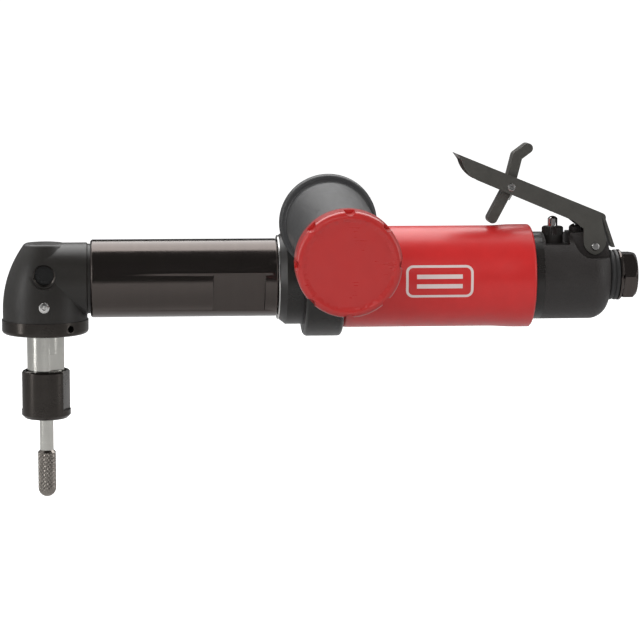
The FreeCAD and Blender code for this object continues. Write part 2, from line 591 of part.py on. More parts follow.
def make_lever_pad(body):
    """The bent tab between the flanges that bears on the plunger."""
    pad_x = f"({PLUNGER_X}+pivot_place)"
    pad_z = f"(plunger_top_height+pad_gap-{PIVOT_HEIGHT})"
    near = f"({pad_x}+pad_length/2)"
    far = f"({pad_x}-pad_length/2)"
    padded(body, outline(body, "XZ_Plane", [
        (near, f"{pad_z}-pad_length/2*tan(pad_angle)"),
        (near, f"{lever_top(near)}-{SHEET_DROP}/2"), (far, f"{lever_top(far)}-{SHEET_DROP}/2"),
        (far, f"{pad_z}+pad_length/2*tan(pad_angle)")]),
        "lever_width-sheet_thickness")


def rounded_bar(body, start, end, radius, width):
    """A flat bar with round ends between two points."""
    run = f"sqrt((({end[0]})-({start[0]}))^2+(({end[1]})-({start[1]}))^2)"
    aside = (f"({radius})*(({start[1]})-({end[1]}))/{run}",
             f"({radius})*(({end[0]})-({start[0]}))/{run}")
    padded(body, round_outline(body, "XZ_Plane", start[0], start[1], radius), width)
    padded(body, outline(body, "XZ_Plane", [
        (f"({start[0]})+{aside[0]}", f"({start[1]})+{aside[1]}"),
        (f"({end[0]})+{aside[0]}", f"({end[1]})+{aside[1]}"),
        (f"({end[0]})-{aside[0]}", f"({end[1]})-{aside[1]}"),
        (f"({start[0]})-{aside[0]}", f"({start[1]})-{aside[1]}")]), width)
    padded(body, round_outline(body, "XZ_Plane", end[0], end[1], radius), width)


def make_lock_lever():
    body = new_body("lock_lever")
    eye = ("-lock_reach", "lock_height")
    foot = ("-lock_reach-foot_reach", "lock_height-foot_drop")
    elbow = ("-lock_reach+arm_back", "lock_height+arm_rise")
    hook = ("-lock_reach+hook_back", "lock_height+hook_rise")
    padded(body, round_outline(body, "XZ_Plane", eye[0], eye[1], "lock_eye_radius"),
           LOCK_BAR_WIDTH)
    for start, end in ((eye, foot), (eye, elbow), (elbow, hook)):
        rounded_bar(body, start, end, "lock_bar_radius", LOCK_BAR_WIDTH)
    pocketed(body, round_outline(body, "XZ_Plane", eye[0], eye[1],
                                 "lock_pin_radius+running_gap"), "2*lever_width")
    place_at_pivot(body)


def make_lock_pin():
    body = new_body("lock_pin")
    half = "lever_width/2"
    head = total(half, "rivet_head_height")
    turned(body, [
        ("lock_pin_bore", f"-{head}"), ("lock_pin_bore", head), ("rivet_head_radius-rivet_edge", head),
        ("rivet_head_radius", half), ("lock_pin_radius", half),
        ("lock_pin_radius", f"-{half}"), ("rivet_head_radius", f"-{half}"),
        ("rivet_head_radius-rivet_edge", f"-{head}")], about="V_Axis", plane="XY_Plane")
    place(body, along=f"{PIVOT_X}-lock_reach", up=f"{PIVOT_HEIGHT}+lock_height")


def make_lock_spring():
    """Torsion spring: coils round the rivet, one leg behind the lock lever, one under the top."""
    radius = value("lock_spring_radius")
    pitch = value("lock_spring_pitch")
    wire = value("lock_spring_wire") / 2
    coil_start = -value("lever_width/2-sheet_thickness-lever_side_gap") + wire
    coil_length = pitch * value("lock_spring_turns")
    helix = Part.makeHelix(pitch, coil_length, radius)
    start = FreeCAD.Vector(radius, 0, 0)
    section = Part.Wire(Part.Circle(start, FreeCAD.Vector(0, 1, 0), wire).toShape())
    coil = Part.Wire(helix).makePipeShell([section], True, False)
    turn = FreeCAD.Rotation(FreeCAD.Vector(1, 0, 0), -90)
    coil.Placement = FreeCAD.Placement(FreeCAD.Vector(0, coil_start, 0), turn)
    end = FreeCAD.Vector(radius, coil_start + coil_length, 0)
    leg_way = FreeCAD.Vector(-value("foot_reach"), 0, -value("foot_drop"))
    down = Part.makeCylinder(wire, value("lock_spring_leg"), end, leg_way)
    up = Part.makeCylinder(wire, value("lock_spring_tail"), FreeCAD.Vector(radius, coil_start, 0),
                           FreeCAD.Vector(1, 0, 0))
    spring = doc.addObject("Part::Feature", "lock_spring")
    spring.Label = "lock_spring"
    spring.Shape = coil.fuse([down, up]).removeSplitter()
    place(spring, along=f"{PIVOT_X}-lock_reach", up=f"{PIVOT_HEIGHT}+lock_height")
    SUB_PARTS.append(spring)


def make_lever_pin():
    body = new_body("lever_pin")
    half = "(lever_width/2)"
    head = total(half, "rivet_head_height")
    turned(body, [
        ("0", f"-{head}"), ("pivot_radius-rivet_head_height", f"-{head}"), ("pivot_radius", f"-{half}"),
        ("pivot_radius", half), ("pivot_radius-rivet_head_height", head), ("0", head)],
        about="V_Axis", plane="XY_Plane")
    place_at_pivot(body)


# ---- motor -----------------------------------------------------------------------------------

def make_motor_housing():
    body = new_body("motor_housing")
    turned(body, [
        (HOUSING_REAR, "motor_bore_radius"), (HOUSING_REAR, "backhead_radius"),
        (NECK_FRONT, "backhead_radius"), (NECK_FRONT, UNDER_SLEEVE),
        (SLEEVE_FRONT, UNDER_SLEEVE), (SLEEVE_FRONT, COLLAR_RADIUS),
        (total(COLLAR_FRONT, "collar_chamfer"), COLLAR_RADIUS),
        (COLLAR_FRONT, less(COLLAR_RADIUS, "collar_chamfer*tan(collar_chamfer_angle)")),
        (COLLAR_FRONT, "barrel_thread_radius"),
        (BARREL_TAIL, "barrel_thread_radius"), (BARREL_TAIL, "motor_bore_radius")])
    pocketed(body, outline(body, "XZ_Plane", cap_notch_points()), "3*backhead_radius")


def make_grip_sleeve():
    body = new_body("grip_sleeve")
    flare_radius = total(SLEEVE_RADIUS, "sleeve_flare")
    turned(body, [
        (SLEEVE_REAR, UNDER_SLEEVE), (SLEEVE_REAR, less(flare_radius, "sleeve_edge")),
        (less(SLEEVE_REAR, "sleeve_edge"), flare_radius, "sleeve_edge", "left"),
        (less(SLEEVE_REAR, "sleeve_flare_flat"), flare_radius),
        (less(SLEEVE_REAR, "sleeve_flare_length"), SLEEVE_RADIUS),
        (total(SLEEVE_FRONT, "sleeve_edge"), SLEEVE_RADIUS),
        (SLEEVE_FRONT, less(SLEEVE_RADIUS, "sleeve_edge"), "sleeve_edge", "left"),
        (SLEEVE_FRONT, UNDER_SLEEVE)])


def make_ring(label, start, end, inner, outer):
    body = new_body(label)
    turned(body, ring_points(start, end, inner, outer))
    return body


def make_bearing(label, start, end, inner, outer):
    """A shielded ball bearing: a closed ring, with its shields set back between the races."""
    body = new_body(label)
    low = f"(({inner})*2+({outer}))/3"
    high = f"(({inner})+({outer})*2)/3"
    turned(body, [
        (start, inner), (end, inner), (end, low), (less(end, "bearing_shield_inset"), low),
        (less(end, "bearing_shield_inset"), high), (end, high), (end, outer), (start, outer), (start, high),
        (total(start, "bearing_shield_inset"), high), (total(start, "bearing_shield_inset"), low),
        (start, low)])
    return body


def make_end_plate(label, inner_face, outer_face):
    """Closes the cylinder and holds a rotor bearing in its outer side."""
    body = new_body(label)
    way = 1 if value(outer_face) > value(inner_face) else -1
    pocket = f"(({outer_face})-({way}*rotor_bearing_length))"
    turned(body, [
        (inner_face, "plate_hole_radius"), (inner_face, "motor_bore_radius"),
        (outer_face, "motor_bore_radius"), (outer_face, "rotor_bearing_radius"),
        (pocket, "rotor_bearing_radius"), (pocket, "plate_hole_radius")])


def make_motor_cylinder():
    shell = doc.addObject("Part::Cylinder", "cylinder_shell")
    bore = doc.addObject("Part::Cylinder", "cylinder_bore")
    bind(shell, "Radius", "motor_bore_radius")
    bind(bore, "Radius", "cylinder_bore_radius")
    for tube, lift in ((shell, "0"), (bore, "cylinder_offset")):
        bind(tube, "Height", "cylinder_length")
        place(tube, along=CYLINDER_FRONT, up=lift, axis=(0, 1, 0), angle="90")
    cylinder = doc.addObject("Part::Cut", "motor_cylinder")
    cylinder.Label = "motor_cylinder"
    cylinder.Base = shell
    cylinder.Tool = bore
    SUB_PARTS.append(cylinder)


def make_rotor():
    body = new_body("rotor")
    front = total(CYLINDER_FRONT, "rotor_end_gap")
    rear = less(CYLINDER_REAR, "rotor_end_gap")
    turned(body, [
        (ROTOR_NOSE, "0"), (ROTOR_NOSE, "shaft_radius"), (front, "shaft_radius"),
        (front, "rotor_radius"), (rear, "rotor_radius"), (rear, "shaft_radius"),
        (ROTOR_TAIL, "shaft_radius"), (ROTOR_TAIL, "0")])
    slot = pocketed(body, outline(body, "XY_Plane", [
        (less(front, OVERCUT), "rotor_radius-vane_depth"),
        (total(rear, OVERCUT), "rotor_radius-vane_depth"),
        (total(rear, OVERCUT), total("rotor_radius", OVERCUT)),
        (less(front, OVERCUT), total("rotor_radius", OVERCUT))]),
        "vane_thickness")
    around(body, slot, "X_Axis", "vane_count")


def make_rotor_vanes():
    vanes = doc.addObject("Part::Compound", "rotor_vanes")
    vanes.Label = "rotor_vanes"
    blades = []
    for number in range(int(value("vane_count"))):
        blade = doc.addObject("Part::Box", f"vane_blade_{number + 1}")
        angle = f"{number}*360/vane_count"
        bind(blade, "Length", "cylinder_length-2*rotor_end_gap")
        bind(blade, "Width", "vane_depth")
        bind(blade, "Height", "vane_thickness")
        reach = "(rotor_radius-vane_depth)"
        place(blade, along=total(CYLINDER_FRONT, "rotor_end_gap"),
              across=f"{reach}*cos({angle})+vane_thickness/2*sin({angle})",
              up=f"{reach}*sin({angle})-vane_thickness/2*cos({angle})",
              axis=(1, 0, 0), angle=angle)
        blades.append(blade)
    vanes.Links = blades
    SUB_PARTS.append(vanes)


def make_shaft_coupling():
    make_ring("shaft_coupling", COUPLING_REAR, COUPLING_FRONT, "shaft_radius", "coupling_radius")


def make_drive_shaft():
    body = new_body("drive_shaft")
    turned(body, ring_points(less(ROTOR_NOSE, "shaft_end_gap"), PINION_FACE, "0", "shaft_radius"))


# ---- extension barrel ------------------------------------------------------------------------

def make_extension_barrel():
    body = new_body("extension_barrel")
    turned(body, [
        (BARREL_TAIL, "barrel_throat_radius"), (BARREL_TAIL, "barrel_thread_radius"),
        (BARREL_REAR, "barrel_thread_radius"), (BARREL_REAR, "barrel_radius-barrel_edge"),
        (less(BARREL_REAR, "barrel_edge"), "barrel_radius"),
        (total(BARREL_FRONT, "barrel_edge"), "barrel_radius"),
        (BARREL_FRONT, "barrel_radius-barrel_edge"), (BARREL_FRONT, "barrel_bore_radius"),
        (BARREL_SHOULDER, "barrel_bore_radius"),
        (BARREL_SHOULDER, "barrel_throat_radius")])
    flat_rear = less(BARREL_REAR, "flat_start")
    for side in ("-", ""):
        sketch = outline(body, "XY_Plane", [
            (flat_rear, f"{side}(barrel_radius-flat_depth)"),
            (less(flat_rear, "flat_length"), f"{side}(barrel_radius-flat_depth)"),
            (less(flat_rear, "flat_length"), f"{side}({total('barrel_radius', OVERCUT)})"),
            (flat_rear, f"{side}({total('barrel_radius', OVERCUT)})")])
        pocketed(body, sketch, "2*barrel_radius")
    place(body, axis=(1, 0, 0), angle="flat_tilt")


# ---- angle head, modelled about the crossing of spindle and tool axis --------------------------

def make_angle_head():
    body = new_body("angle_head")
    turned(body, [
        ("0", "-head_drop"), ("head_radius", "-head_drop"), ("head_radius", "-head_curve_drop"),
        ("head_top_radius+head_top_edge", less("head_top_height", "head_top_edge"),
         "head_curve", "left"),
        ("head_top_radius", "head_top_height", "2*head_top_edge", "left"),
        ("0", "head_top_height")], about="V_Axis")
    spigot_end = total("head_reach", "groove_length", "head_spigot_length")
    turned(body, [
        ("0", "0"), ("0", "head_barrel_radius"),
        (less("head_reach", "head_barrel_edge"), "head_barrel_radius"),
        ("head_reach", less("head_barrel_radius", "head_barrel_edge")),
        ("head_reach", "groove_radius"),
        ("head_reach+groove_length", "groove_radius"),
        ("head_reach+groove_length", "barrel_bore_radius"), (spigot_end, "barrel_bore_radius"),
        (spigot_end, "0")])
    bearing_top = total("gear_room_top", "upper_bearing_length")
    turned(body, [
        ("0", less("-head_drop", OVERCUT)), ("lower_bearing_radius", less("-head_drop", OVERCUT)),
        ("lower_bearing_radius", "-gear_room_bottom"), ("gear_room_radius", "-gear_room_bottom"),
        ("gear_room_radius", "gear_room_top"), ("upper_bearing_radius", "gear_room_top"),
        ("upper_bearing_radius", bearing_top), ("0", bearing_top)], about="V_Axis", cut=True)
    bearing_x = less(PINION_BEARING_REAR, SPINDLE_X)
    turned(body, [
        ("0", "0"), ("0", "pinion_bearing_radius"), (bearing_x, "pinion_bearing_radius"),
        (bearing_x, "shaft_radius+shaft_room"), (total(spigot_end, OVERCUT), "shaft_radius+shaft_room"),
        (total(spigot_end, OVERCUT), "0")], cut=True)
    one_way(body, "Pocket", round_outline(body, "XZ_Plane", "0", "port_height", "port_radius",
                                          lift="port_floor"), "head_radius", reverse=True)
    one_way(body, "Pocket", round_outline(body, "XZ_Plane", "0", "port_height",
                                          "port_chamfer_radius", lift="port_mouth"),
            "head_radius", reverse=True)
    one_way(body, "Pocket", round_outline(
        body, "XZ_Plane", "0", "-fitting_drop", "fitting_radius",
        lift="head_radius-fitting_inset"), total("fitting_inset", OVERCUT), reverse=True)
    place(body, along=SPINDLE_X)


def make_grease_fitting():
    body = new_body("grease_fitting")
    face = "head_radius"
    turned(body, [
        ("0", f"-({face}-fitting_inset)"), ("fitting_radius", f"-({face}-fitting_inset)"),
        ("fitting_radius", f"-{face}"), ("fitting_crown_radius", f"-({face}+fitting_crown)"),
        ("fitting_dimple", f"-({face}+fitting_crown)"), ("fitting_dimple", f"-({face}-fitting_crown)"),
        ("0", f"-({face}-fitting_crown)")], about="V_Axis", plane="XY_Plane")
    place(body, along=SPINDLE_X, up="-fitting_drop")


def make_bearing_cap_ring():
    body = new_body("bearing_cap_ring")
    inner = "spindle_radius+4*running_gap"
    turned(body, [
        (inner, "-head_drop"), ("cap_ring_radius", "-head_drop"),
        ("cap_ring_radius", total(CAP_RING_BOTTOM, "cap_ring_edge")),
        ("cap_ring_radius-cap_ring_edge", CAP_RING_BOTTOM, "cap_ring_edge", "right"),
        (inner, CAP_RING_BOTTOM)], about="V_Axis")
    hole_height = "-head_drop-cap_ring_hole_drop"
    hole = one_way(body, "Pocket", round_outline(
        body, "XZ_Plane", "0", hole_height, "cap_ring_hole_radius",
        lift="cap_ring_radius-cap_ring_hole_depth"),
        total("cap_ring_hole_depth", OVERCUT), reverse=True)
    around(body, hole, "Z_Axis", "cap_ring_holes")
    place(body, along=SPINDLE_X, angle="cap_ring_hole_turn")


def spindle_ring(label, top, bottom, inner, outer):
    """A bearing about the spindle's axis."""
    body = make_bearing(label, bottom, top, inner, outer)
    place(body, along=SPINDLE_X, axis=(0, 1, 0), angle="-90")


def make_bevel_gear(label, bore):
    """A straight bevel gear for equal gears at a right angle. Its apex is the body's origin and
    it points down the body's own Z, so every tooth face runs to the apex."""
    body = new_body(label)
    large = "gear_pitch_radius"
    small = less(large, "gear_face")
    root = "gear_root_slope"
    turned(body, [
        (bore, f"-{small}"), (f"{small}*{root}", f"-{small}"), (f"{large}*{root}", f"-{large}"),
        (f"{large}*{root}", f"-({large}+gear_back)"),
        (f"{large}*{root}-gear_hub_taper", f"-({large}+gear_back+gear_hub_length)"),
        (bore, f"-({large}+gear_back+gear_hub_length)")], about="V_Axis")
    sections = []
    for depth in (small, large):
        foot = f"{depth}*(gear_root_slope-tooth_root_sink)"
        tip = f"{depth}*gear_tip_slope"
        wide = f"{depth}*tooth_root_share"
        narrow = f"{depth}*tooth_tip_share"
        sections.append(outline(body, "XY_Plane", [
            (foot, f"-{wide}"), (tip, f"-{narrow}"), (tip, narrow), (foot, wide)],
            lift=f"-{depth}"))
    tooth = body.newObject("PartDesign::AdditiveLoft", label + "_tooth")
    tooth.Profile = sections[0]
    tooth.Sections = [sections[1]]
    tooth.Ruled = True
    around(body, tooth, "Z_Axis", "gear_teeth")
    return body


def make_bevel_gears():
    driven = make_bevel_gear("driven_gear", "upper_shaft_radius")
    place(driven, along=SPINDLE_X)
    pinion = make_bevel_gear("bevel_pinion", "upper_shaft_radius")
    half_tooth = value("180/gear_teeth")
    lie_down = FreeCAD.Rotation(FreeCAD.Vector(0, 1, 0), -90)
    mesh_turn = FreeCAD.Rotation(FreeCAD.Vector(0, 0, 1), 180 + half_tooth)
    pinion.Placement = FreeCAD.Placement(FreeCAD.Vector(value(SPINDLE_X), 0, 0),
                                         lie_down.multiply(mesh_turn))
    bind(pinion, "Placement.Base.x", SPINDLE_X)


def make_spindle():
    body = new_body("spindle")
    gear_foot = "-(gear_pitch_radius+gear_back+gear_hub_length)"
    top = less("gear_room_top+upper_bearing_length", "spindle_top_gap")
    thread_end = THREAD_BOTTOM
    taper_top = total(thread_end, "taper_length")
    turned(body, [
        ("0", top), ("upper_shaft_radius", top), ("upper_shaft_radius", gear_foot),
        ("lower_bearing_shaft", gear_foot), ("lower_bearing_shaft", "-head_drop"),
        ("spindle_radius", "-head_drop"), ("spindle_radius", "-spindle_drop"),
        ("spindle_thread_radius", "-spindle_drop"), ("spindle_thread_radius", thread_end),
        ("taper_large_radius", thread_end), ("taper_small_radius", taper_top),
        ("spindle_bore_radius", taper_top),
        ("spindle_bore_radius", total(thread_end, "spindle_bore_length")),
        ("0", total(thread_end, "spindle_bore_length"))], about="V_Axis")
    for side in ("", "-"):
        pocketed(body, outline(body, "XZ_Plane", [
            (f"{side}(spindle_radius-spindle_flat_depth)", "-spindle_flat_drop"),
            (f"{side}(spindle_radius+{OVERCUT})", "-spindle_flat_drop"),
            (f"{side}(spindle_radius+{OVERCUT})", "-spindle_drop"),
            (f"{side}(spindle_radius-spindle_flat_depth)", "-spindle_drop")]),
            "3*spindle_radius")
    place(body, along=SPINDLE_X, angle="-spindle_flat_turn")


def make_collet():
    """Split spring collet: a tapered plug with a nose, bored for the shank and slit three ways."""
    body = new_body("collet")
    bottom = less(THREAD_BOTTOM, "collet_nose_length")
    top = less(total(THREAD_BOTTOM, "taper_length"), "collet_edge")
    slope = "((taper_large_radius-taper_small_radius)/taper_length)"
    turned(body, [
        ("burr_shank_radius+running_gap", bottom), ("collet_nose_radius", bottom),
        ("taper_large_radius-collet_gap", f"{THREAD_BOTTOM}-collet_edge"),
        ("taper_large_radius-collet_gap", THREAD_BOTTOM),
        (f"taper_small_radius-collet_gap+collet_edge*{slope}", top),
        ("burr_shank_radius+running_gap", top)], about="V_Axis")
    slit = one_way(body, "Pocket", outline(body, "YZ_Plane", [
        ("-collet_slit/2", less(bottom, OVERCUT)), ("collet_slit/2", less(bottom, OVERCUT)),
        ("collet_slit/2", less(top, "collet_uncut")),
        ("-collet_slit/2", less(top, "collet_uncut"))]), total("taper_large_radius", OVERCUT),
        reverse=True)
    around(body, slit, "Z_Axis", "collet_slits")
    place(body, along=SPINDLE_X)


def make_collet_nut():
    body = new_body("collet_nut")
    inner = total("spindle_thread_radius", "running_gap")
    floor = total(NUT_BOTTOM, "nut_mouth_length")
    seat = less(THREAD_BOTTOM, "collet_nose_length", "running_gap")
    turned(body, [
        ("nut_mouth_radius", NUT_BOTTOM), ("nut_radius-2*nut_edge", NUT_BOTTOM),
        ("nut_radius", total(NUT_BOTTOM, "2*nut_edge")), ("nut_radius", "-spindle_drop-nut_edge"),
        ("nut_radius-nut_edge", "-spindle_drop"), ("nut_rim_radius", "-spindle_drop"),
        ("nut_rim_radius", "-spindle_drop-nut_rim_depth"), (inner, "-spindle_drop-nut_rim_depth"),
        (inner, seat), ("nut_mouth_radius-nut_mouth_lip", seat), ("nut_mouth_radius-nut_mouth_lip", floor),
        ("nut_mouth_radius", less(floor, "nut_mouth_lip"))], about="V_Axis")
    for side in ("", "-"):
        pocketed(body, outline(body, "XZ_Plane", [
            (f"{side}(nut_radius-nut_flat_depth)", total(NUT_BOTTOM, "nut_plain_length")),
            (f"{side}(nut_radius+{OVERCUT})", total(NUT_BOTTOM, "nut_plain_length")),
            (f"{side}(nut_radius+{OVERCUT})", f"{OVERCUT}-spindle_drop"),
            (f"{side}(nut_radius-nut_flat_depth)", f"{OVERCUT}-spindle_drop")]), "3*nut_radius")
    place(body, along=SPINDLE_X, angle="-nut_flat_turn")


def make_burr():
    body = new_body("carbide_burr")
    shank_top = "-burr_shank_drop+burr_shank_length"
    bottom = "(-burr_shank_drop-burr_length)"
    turned(body, [
        ("0", shank_top), ("burr_shank_radius-burr_shank_edge", shank_top),
        ("burr_shank_radius", less(shank_top, "burr_shank_edge")), ("burr_shank_radius", "-burr_shank_drop"),
        ("burr_radius", "-burr_shank_drop-burr_neck"), ("burr_radius", total(bottom, "burr_radius")),
        ("0", bottom, "burr_radius", "right")], about="V_Axis")
    place(body, along=SPINDLE_X)


# ---- side handle, modelled level, then tilted about the tool axis ------------------------------

def make_clamp_band():
    body = new_body("clamp_band")
    half = "(clamp_width/2)"
    inner = total(COLLAR_RADIUS, "running_gap")
    round_start = less(half, "clamp_edge")
    turned(body, [
        (f"-{half}", inner), (f"-{half}", "clamp_radius-clamp_edge"),
        (f"-{round_start}", "clamp_radius", "clamp_edge", "right"),
        (round_start, "clamp_radius"), (half, "clamp_radius-clamp_edge", "clamp_edge", "right"),
        (half, inner)])
    padded(body, outline(body, "YZ_Plane", [
        ("-lug_half", "clamp_radius-lug_overlap"), ("-lug_half", "lug_top-lug_corner"),
        ("-lug_half+lug_corner", "lug_top", "lug_corner", "right"),
        ("lug_half-lug_corner", "lug_top"),
        ("lug_half", "lug_top-lug_corner", "lug_corner", "right"),
        ("lug_half", "clamp_radius-lug_overlap")]), "clamp_width-2*lug_inset")
    pocketed(body, round_outline(body, "YZ_Plane", "0", "0", inner), total("clamp_width", OVERCUT))
    pocketed(body, outline(body, "YZ_Plane", [
        ("-clamp_slit/2", f"{COLLAR_RADIUS}/2"), ("clamp_slit/2", f"{COLLAR_RADIUS}/2"),
        ("clamp_slit/2", total("lug_top", OVERCUT)), ("-clamp_slit/2", total("lug_top", OVERCUT))]),
        total("clamp_width", OVERCUT))
    pocketed(body, round_outline(body, "XZ_Plane", "0", "stud_height", "stud_radius"),
             "3*lug_half")
    place(body, along=CLAMP_MIDDLE, axis=(1, 0, 0), angle="clamp_tilt")


def place_on_stud(body):
    """The body's own +Z runs out along the side handle, from the plane of the tool axis."""
    place(body, along=CLAMP_MIDDLE, across="-stud_height*sin(clamp_tilt)",
          up="stud_height*cos(clamp_tilt)", axis=(1, 0, 0), angle="90+clamp_tilt")


def make_handle_stud():
    body = new_body("handle_stud")
    tail = total("lug_half", "stud_tail")
    turned(body, [
        ("0", f"-{tail}"), ("stud_radius-stud_edge", f"-{tail}"), ("stud_radius", f"-{tail}+stud_edge"),
        ("stud_radius", "stud_reach-stud_edge"), ("stud_radius-stud_edge", "stud_reach"),
        ("0", "stud_reach")],
        about="V_Axis")
    place_on_stud(body)


def make_clamp_nut():
    body = new_body("clamp_nut")
    one_way(body, "Pad", outline(body, "XY_Plane", hexagon_points("clamp_nut_across"),
                                 lift="-lug_half-clamp_nut_length"), "clamp_nut_length")
    pocketed(body, round_outline(body, "XY_Plane", "0", "0", "stud_radius"), "6*lug_half")
    place_on_stud(body)


def make_handle_grip():
    body = new_body("handle_grip")
    bore = total("stud_radius", "running_gap")
    start = total("lug_half", "hub_gap")
    turned(body, [
        (bore, start), ("hub_radius", start), ("hub_radius", "guard_start"),
        ("guard_radius-guard_edge", "guard_start"),
        ("guard_radius", "guard_start+guard_edge", "guard_edge", "left"),
        ("guard_radius", f"{GUARD_END}-guard_edge"),
        ("guard_radius-guard_edge", GUARD_END, "guard_edge", "left"),
        ("grip_radius", GUARD_END), ("grip_radius", "grip_end"),
        ("end_cap_spigot_radius", "grip_end"),
        ("end_cap_spigot_radius", "grip_end-end_cap_spigot_length"),
        ("air_hole_radius", "grip_end-end_cap_spigot_length"),
        ("air_hole_radius", "stud_reach+stud_bore_spare"), (bore, "stud_reach+stud_bore_spare")],
        about="V_Axis")
    place_on_stud(body)


def make_handle_end_cap():
    body = new_body("handle_end_cap")
    end = total("grip_end", "end_cap_length")
    floor = less(end, "end_cap_dish_depth")
    turned(body, [
        ("0", "grip_end-end_cap_spigot_length"),
        ("end_cap_spigot_radius", "grip_end-end_cap_spigot_length"),
        ("end_cap_spigot_radius", "grip_end"), ("end_cap_radius-end_cap_back_edge", "grip_end"),
        ("end_cap_radius", "grip_end+end_cap_back_edge", "end_cap_back_edge", "left"),
        ("end_cap_radius", f"{end}-end_cap_edge"),
        ("end_cap_radius-end_cap_edge", end, "end_cap_edge", "left"),
        ("end_cap_dish_radius", end), ("end_cap_dish_radius-2*end_cap_dish_depth", floor), ("0", floor)],
        about="V_Axis")
    notch = one_way(body, "Pocket", round_outline(
        body, "XY_Plane", "0", "end_cap_notch_circle",
        "end_cap_notch_radius", lift=less(end, "end_cap_notch_length")), "end_cap_length",
        reverse=True)
    around(body, notch, "Z_Axis", "end_cap_notches")
    place_on_stud(body)


# ---- build everything ------------------------------------------------------------------------

make_inlet_bushing()
make_inlet_seal()
make_inlet_screen()
make_backhead()
make_valve_seat()
make_throttle_valve()
make_valve_spring()
make_throttle_plunger()
make_valve_cap()
make_regulator_screw()
make_lever_pin()
make_throttle_lever()
make_lock_lever()
make_lock_pin()
make_lock_spring()
make_motor_housing()
make_grip_sleeve()
make_ring("exhaust_muffler", MUFFLER_REAR, REAR_PLATE_REAR, "muffler_bore_radius",
          "motor_bore_radius")
make_end_plate("rear_end_plate", CYLINDER_REAR, REAR_PLATE_REAR)
make_end_plate("front_end_plate", CYLINDER_FRONT, FRONT_PLATE_FRONT)
SHAFT_BORE = total("shaft_radius", "running_gap")
make_bearing("rear_rotor_bearing", less(REAR_PLATE_REAR, "rotor_bearing_length"), REAR_PLATE_REAR,
             SHAFT_BORE, "rotor_bearing_radius")
make_bearing("front_rotor_bearing", FRONT_PLATE_FRONT,
             total(FRONT_PLATE_FRONT, "rotor_bearing_length"), SHAFT_BORE, "rotor_bearing_radius")
make_motor_cylinder()
make_rotor()
make_rotor_vanes()
make_shaft_coupling()
make_drive_shaft()
make_ring("barrel_lock_ring", COLLAR_FRONT, BARREL_REAR, "barrel_thread_radius", "ring_radius")
make_extension_barrel()
make_bearing("barrel_rear_bearing", less(BARREL_SHOULDER, "barrel_bearing_length"),
             BARREL_SHOULDER, SHAFT_BORE, "barrel_bore_radius")
FRONT_BEARING_FRONT = total(BARREL_FRONT, "barrel_bearing_inset")
make_bearing("barrel_front_bearing", FRONT_BEARING_FRONT,
             total(FRONT_BEARING_FRONT, "barrel_bearing_length"), SHAFT_BORE, "barrel_bore_radius")
make_bearing("pinion_bearing", PINION_BEARING_FRONT, PINION_BEARING_REAR, SHAFT_BORE,
             "pinion_bearing_radius")
make_angle_head()
make_grease_fitting()
make_bearing_cap_ring()
spindle_ring("lower_spindle_bearing", "-gear_room_bottom", "-head_drop",
             "lower_bearing_shaft+running_gap", "lower_bearing_radius")
spindle_ring("upper_spindle_bearing", "gear_room_top+upper_bearing_length", "gear_room_top",
             "upper_shaft_radius+running_gap", "upper_bearing_radius")
make_bevel_gears()
make_spindle()
make_collet()
make_collet_nut()
make_burr()
make_clamp_band()
make_handle_stud()
make_clamp_nut()
make_handle_grip()
make_handle_end_cap()

doc.recompute()

broken = [item.Label for item in doc.Objects if {"Invalid", "Error"} & set(item.State)]
if broken:
    raise RuntimeError("these did not build: " + ", ".join(broken))
for part in SUB_PARTS:
    if part.Shape.isNull() or not part.Shape.isValid():
        raise RuntimeError(part.Label + " has no valid shape")

os.makedirs("parts", exist_ok=True)
for part in SUB_PARTS:
    part.Shape.exportStep(f"parts/{part.Label}.step")
    solids = len(part.Shape.Solids)
    print(f"{part.Label}: {solids} solid(s), {part.Shape.Volume:.0f} cubic mm")
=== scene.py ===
# %% [markdown]
# # A right-angle air die grinder with a side handle
#
# The tool is a long barrel with an air motor in its red grip, an angle head that turns the
# drive down to a burr, a lever throttle over the air inlet and a handle clamped on its side.
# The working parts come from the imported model; this lesson gives them their finishes and
# models again the pieces whose surface carries fine shape: the grip, the handle, the knurl
# and the burr's teeth.

# %% Load the fixed frame
import json
import math

import bmesh
import bpy
from mathutils import Matrix, Vector


